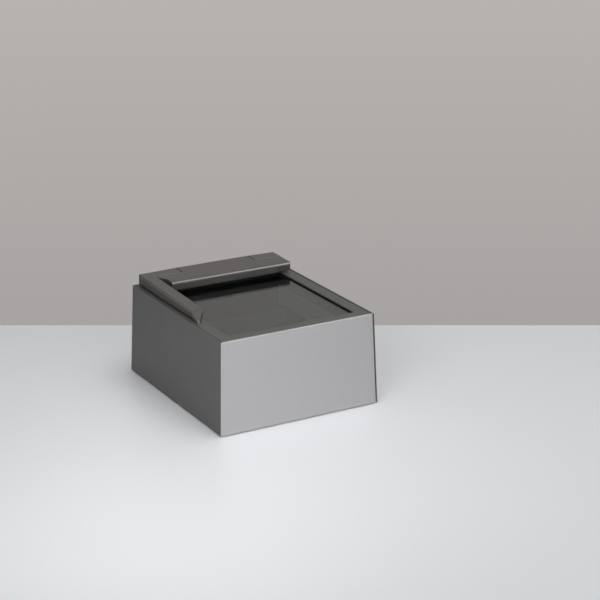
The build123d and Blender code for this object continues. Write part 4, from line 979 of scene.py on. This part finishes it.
lensAxis = faceAxis("image_sensor")
lensStart, lensDepth, lensRadius = alongAxis("camera_lens", lensAxis)
dome, edge = opticLook["dome"] * mm, opticLook["edge"] * mm
sphere = (lensRadius ** 2 + dome ** 2) / (2 * dome)  # radius of the sphere whose cap has that height
lensProfile = [(0, 0), (lensRadius - edge, 0), (lensRadius, edge), (lensRadius, lensDepth - dome)]
for r in lensRadius * np.cos(quarter(opticLook["capSteps"]))[1:]:
    lensProfile.append((r, lensDepth - sphere + sqrt(sphere ** 2 - r ** 2)))
lens = turned(lathe(lensProfile, 48), lensStart, lensAxis)
addPiece("camera_lens_domed", [lens], "lens_glass", "camera_lens")

sensorStart, sensorDepth, halfSensor = alongAxis("image_sensor", lensAxis)
lid = opticLook["sensorLid"] * mm
for label, slotName, half, low, high in (  # the lid sits half its thickness in the body
        ("body", "chip_black", halfSensor, 0, sensorDepth - lid / 2),
        ("lid", "lens_glass", halfSensor - opticLook["lidInset"] * mm, sensorDepth - lid, sensorDepth)):
    edge = min(opticLook["sensorEdge"] * mm, (high - low) / 2 * opticLook["edgeShare"])
    part = turned(slab((-half, -half, low), (half, half, high), edge), sensorStart, lensAxis)
    addPiece("image_sensor_" + label, [part], slotName, "image_sensor")

pinLook = {"knurls": 36, "knurlDepth": 0.06, "knurlFrom": 0.12, "knurlTo": 0.34, "round": 0.35}


def hingePin(low, high, look):
    # a rod with rounded ends; where it is pressed in, the radius dips as a cosine of the angle, the knurl
    r, length, edge = (high - low)[2] / 2, (high - low)[0], look["round"] * mm
    turn = fullTurn(look["knurls"] * 4)
    ends = [(a, h, 0) for a, h in rim(r, edge, 5)]
    first, last = length * look["knurlFrom"], length * look["knurlTo"]
    rows = [(0, 0, 0)] + ends + [(r, first, 0), (r, first + edge, 1), (r, last - edge, 1), (r, last, 0)]
    rows = np.array(rows + [(a, length - h, 0) for a, h, _ in ends[::-1]] + [(0, length, 0)])
    dip = look["knurlDepth"] / 2 * mm * (1 - np.cos(look["knurls"] * turn))
    radius = rows[:, :1] - rows[:, 2:] * dip
    points = np.stack([rows[:, 1:2] + 0 * turn, radius * np.cos(turn), radius * np.sin(turn)], -1)
    points += [low[0], (low + high)[1] / 2, (low + high)[2] / 2]
    return points, gridFaces(len(rows), len(turn))


pins = [hingePin(low, high, pinLook) for low, high in looseBoxes("hinge_pins")]
addPiece("hinge_pins_knurled", pins, "pin_steel", "hinge_pins", bodyOf["hinge_pins"])
print("camera and hinge pieces made")


# Socket details: the data socket's tongue with its contacts, and the power pin

socketLook = {
    "contacts": 4, "contactWidth": 0.7, "contactRise": 0.06, "contactSunk": 0.5, "contactStart": 0.4,
    "contactEnd": 0.9, "contactEdge": 0.45, "tongueEdge": 0.3, "pinAngle": 0.1, "pinSteps": 8,
}
tongueLow, tongueHigh = np.array(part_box("usb_tongue"))
tongue = slab(tongueLow, tongueHigh, socketLook["tongueEdge"] * mm)
addPiece("usb_tongue_rounded", [tongue], "socket_black", "usb_tongue")
contacts = []
pitch = (tongueHigh[0] - tongueLow[0]) / socketLook["contacts"]
w, rise = socketLook["contactWidth"] / 2 * mm, socketLook["contactRise"] * mm
for k in range(socketLook["contacts"]):
    x = tongueLow[0] + (k + 0.5) * pitch
    for z, up in ((tongueHigh[2], 1), (tongueLow[2], -1)):
        z0, z1 = sorted((z - rise * up * socketLook["contactSunk"], z + rise * up))
        low = (x - w, tongueLow[1] + socketLook["contactStart"] * mm, z0)
        high = (x + w, tongueHigh[1] - socketLook["contactEnd"] * mm, z1)
        contacts.append(slab(low, high, rise * socketLook["contactEdge"], 2))
addPiece("usb_contacts", contacts, "contact_brass")

pinLow, pinHigh = np.array(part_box("power_pin"))
r, length = (pinHigh - pinLow)[0] / 2, (pinHigh - pinLow)[1]
profile = [(0, 0), (r, 0), (r, length - r)]
profile += [(r * cos(t), length - r * (1 - sin(t)))
            for t in quarter(socketLook["pinSteps"], socketLook["pinAngle"])]
pinSeat = ((pinLow + pinHigh)[0] / 2, pinLow[1], (pinLow + pinHigh)[2] / 2)
pin = turned(lathe(profile, 24), pinSeat, (0, 1, 0))
addPiece("power_pin_rounded", [pin], "contact_brass", "power_pin")
print("socket details made")


# Stage, light and camera

cameraLook = {
    "place": (-0.7161, -1.3432, 0.6061), "heading": (0.4710, 0.8211, -0.3223), "lens": 101.3, "sensor": 36.0,
    "clip": (0.01, 50.0),
}
stageLook = {
    "edgeDistance": 1.7, "halfWidth": 2.2, "behindCamera": 1.2, "thickness": 0.03, "edgeRadius": 0.004,
    "table": paint(229, 231, 234), "tableRoughness": 0.32, "cloud": 3.0, "cloudDetail": 2.0,
    "cloudSpread": 0.01, "backdropHigh": paint(181, 177, 174), "backdropLow": paint(165, 161, 160),
    "blend": (-0.34, -0.15), "worldLight": 0.34,
}
lightLook = {  # azimuth (0 in front, 90 on the right), elevation, distance, size, power, spread, gloss only
    "overhead": (50, 76, 2.6, 1.8, 28.0, 180, False),
    "front": (10, 25, 1.3, 0.8, 3.1, 180, False),
    "left": (-43, 24, 0.62, 0.35, 0.5, 90, False),
    "glint": (52, 47, 1.2, 0.6, 11.0, 180, True),
}
lightAim = Vector((0, 0, 0.05))


def aim(item, where, heading):
    # the object stands at a place and looks along the heading
    item.location = where
    item.rotation_mode = "QUATERNION"
    item.rotation_quaternion = Vector(heading).to_track_quat("-Z", "Y")


def addCamera(look):
    # the photograph's camera, as solved from the box's corners
    data = bpy.data.cameras.new("view")
    data.lens, data.sensor_width, data.sensor_fit = look["lens"], look["sensor"], "HORIZONTAL"
    data.clip_start, data.clip_end = look["clip"]
    camera = addObject("view", data)
    aim(camera, look["place"], look["heading"])
    bpy.context.scene.camera = camera


def addTable(look, cameraPlace, heading):
    # a slab whose far edge is square to the camera's heading
    ahead = np.array(heading[:2]) / np.hypot(*heading[:2])
    right = np.array([ahead[1], -ahead[0]])
    foot = np.array(cameraPlace[:2])
    far, near, wide = look["edgeDistance"], -look["behindCamera"], look["halfWidth"]
    plan = [foot + ahead * a + right * b for a, b in ((far, -wide), (near, -wide), (near, wide), (far, wide))]
    points = np.concatenate([np.column_stack([plan, np.full(4, z)]) for z in (-look["thickness"], 0.0)])
    table = addMesh("table_top", points, gridFaces(2, 4, capped=True))
    bevel = table.modifiers.new("edge", "BEVEL")
    bevel.width, bevel.segments = look["edgeRadius"], 4
    material, tree, shader = startMaterial("table_lacquer")
    cloud = addNoise(tree, look["cloud"], look["cloudDetail"])
    tint = addSpread(tree, cloud, look["table"], look["cloudSpread"])
    tree.links.new(tint, shader.inputs["Base Color"])
    shader.inputs["Roughness"].default_value = look["tableRoughness"]
    table.data.materials.append(material)


def lightWorld(look):
    # diffuse light comes from an even white sky; eyes, gloss and glass see the warm grey backdrop
    world = bpy.data.worlds.new("studio")
    bpy.context.scene.world = world
    world.use_nodes = True
    tree = world.node_tree
    tree.nodes.clear()
    split = addNode(tree, "SeparateXYZ", Vector=addNode(tree, "TexCoord").outputs["Generated"])
    height = addNode(tree, "MapRange", Value=split.outputs["Z"])
    height.inputs["From Min"].default_value, height.inputs["From Max"].default_value = look["blend"]
    sky = addNode(tree, "Background", Strength=look["worldLight"])
    tone = addMix(tree, height.outputs[0], look["backdropLow"], look["backdropHigh"])
    backdrop = addNode(tree, "Background", Color=tone)
    path = addNode(tree, "LightPath")
    seen = addMath(tree, path.outputs["Is Camera Ray"], "MAXIMUM", path.outputs["Is Transmission Ray"],
                   "MAXIMUM", path.outputs["Is Glossy Ray"])
    mix = addNode(tree, "MixShader")
    for socket, value in zip(mix.inputs, (seen, sky.outputs[0], backdrop.outputs[0])):
        feed(tree, socket, value)
    addNode(tree, "OutputWorld", Surface=mix.outputs[0])


def addSoftbox(name, azimuth, elevation, distance, size, power, spread, glossOnly):
    # a square area light on a sphere about the object, turned towards it
    data = bpy.data.lights.new(name, "AREA")
    data.shape, data.size, data.size_y, data.energy = "RECTANGLE", size, size, power
    data.spread = radians(spread)
    light = addObject(name, data)
    light.visible_diffuse = not glossOnly
    a, e = radians(azimuth), radians(elevation)
    back = Vector((sin(a) * cos(e), -cos(a) * cos(e), sin(e)))
    aim(light, lightAim + back * distance, -back)


addCamera(cameraLook)
addTable(stageLook, cameraLook["place"], cameraLook["heading"])
lightWorld(stageLook)
for lightName, settings in lightLook.items():
    addSoftbox(lightName, *settings)
bpy.context.scene.view_settings.view_transform = "Standard"
print("stage, light and camera made")
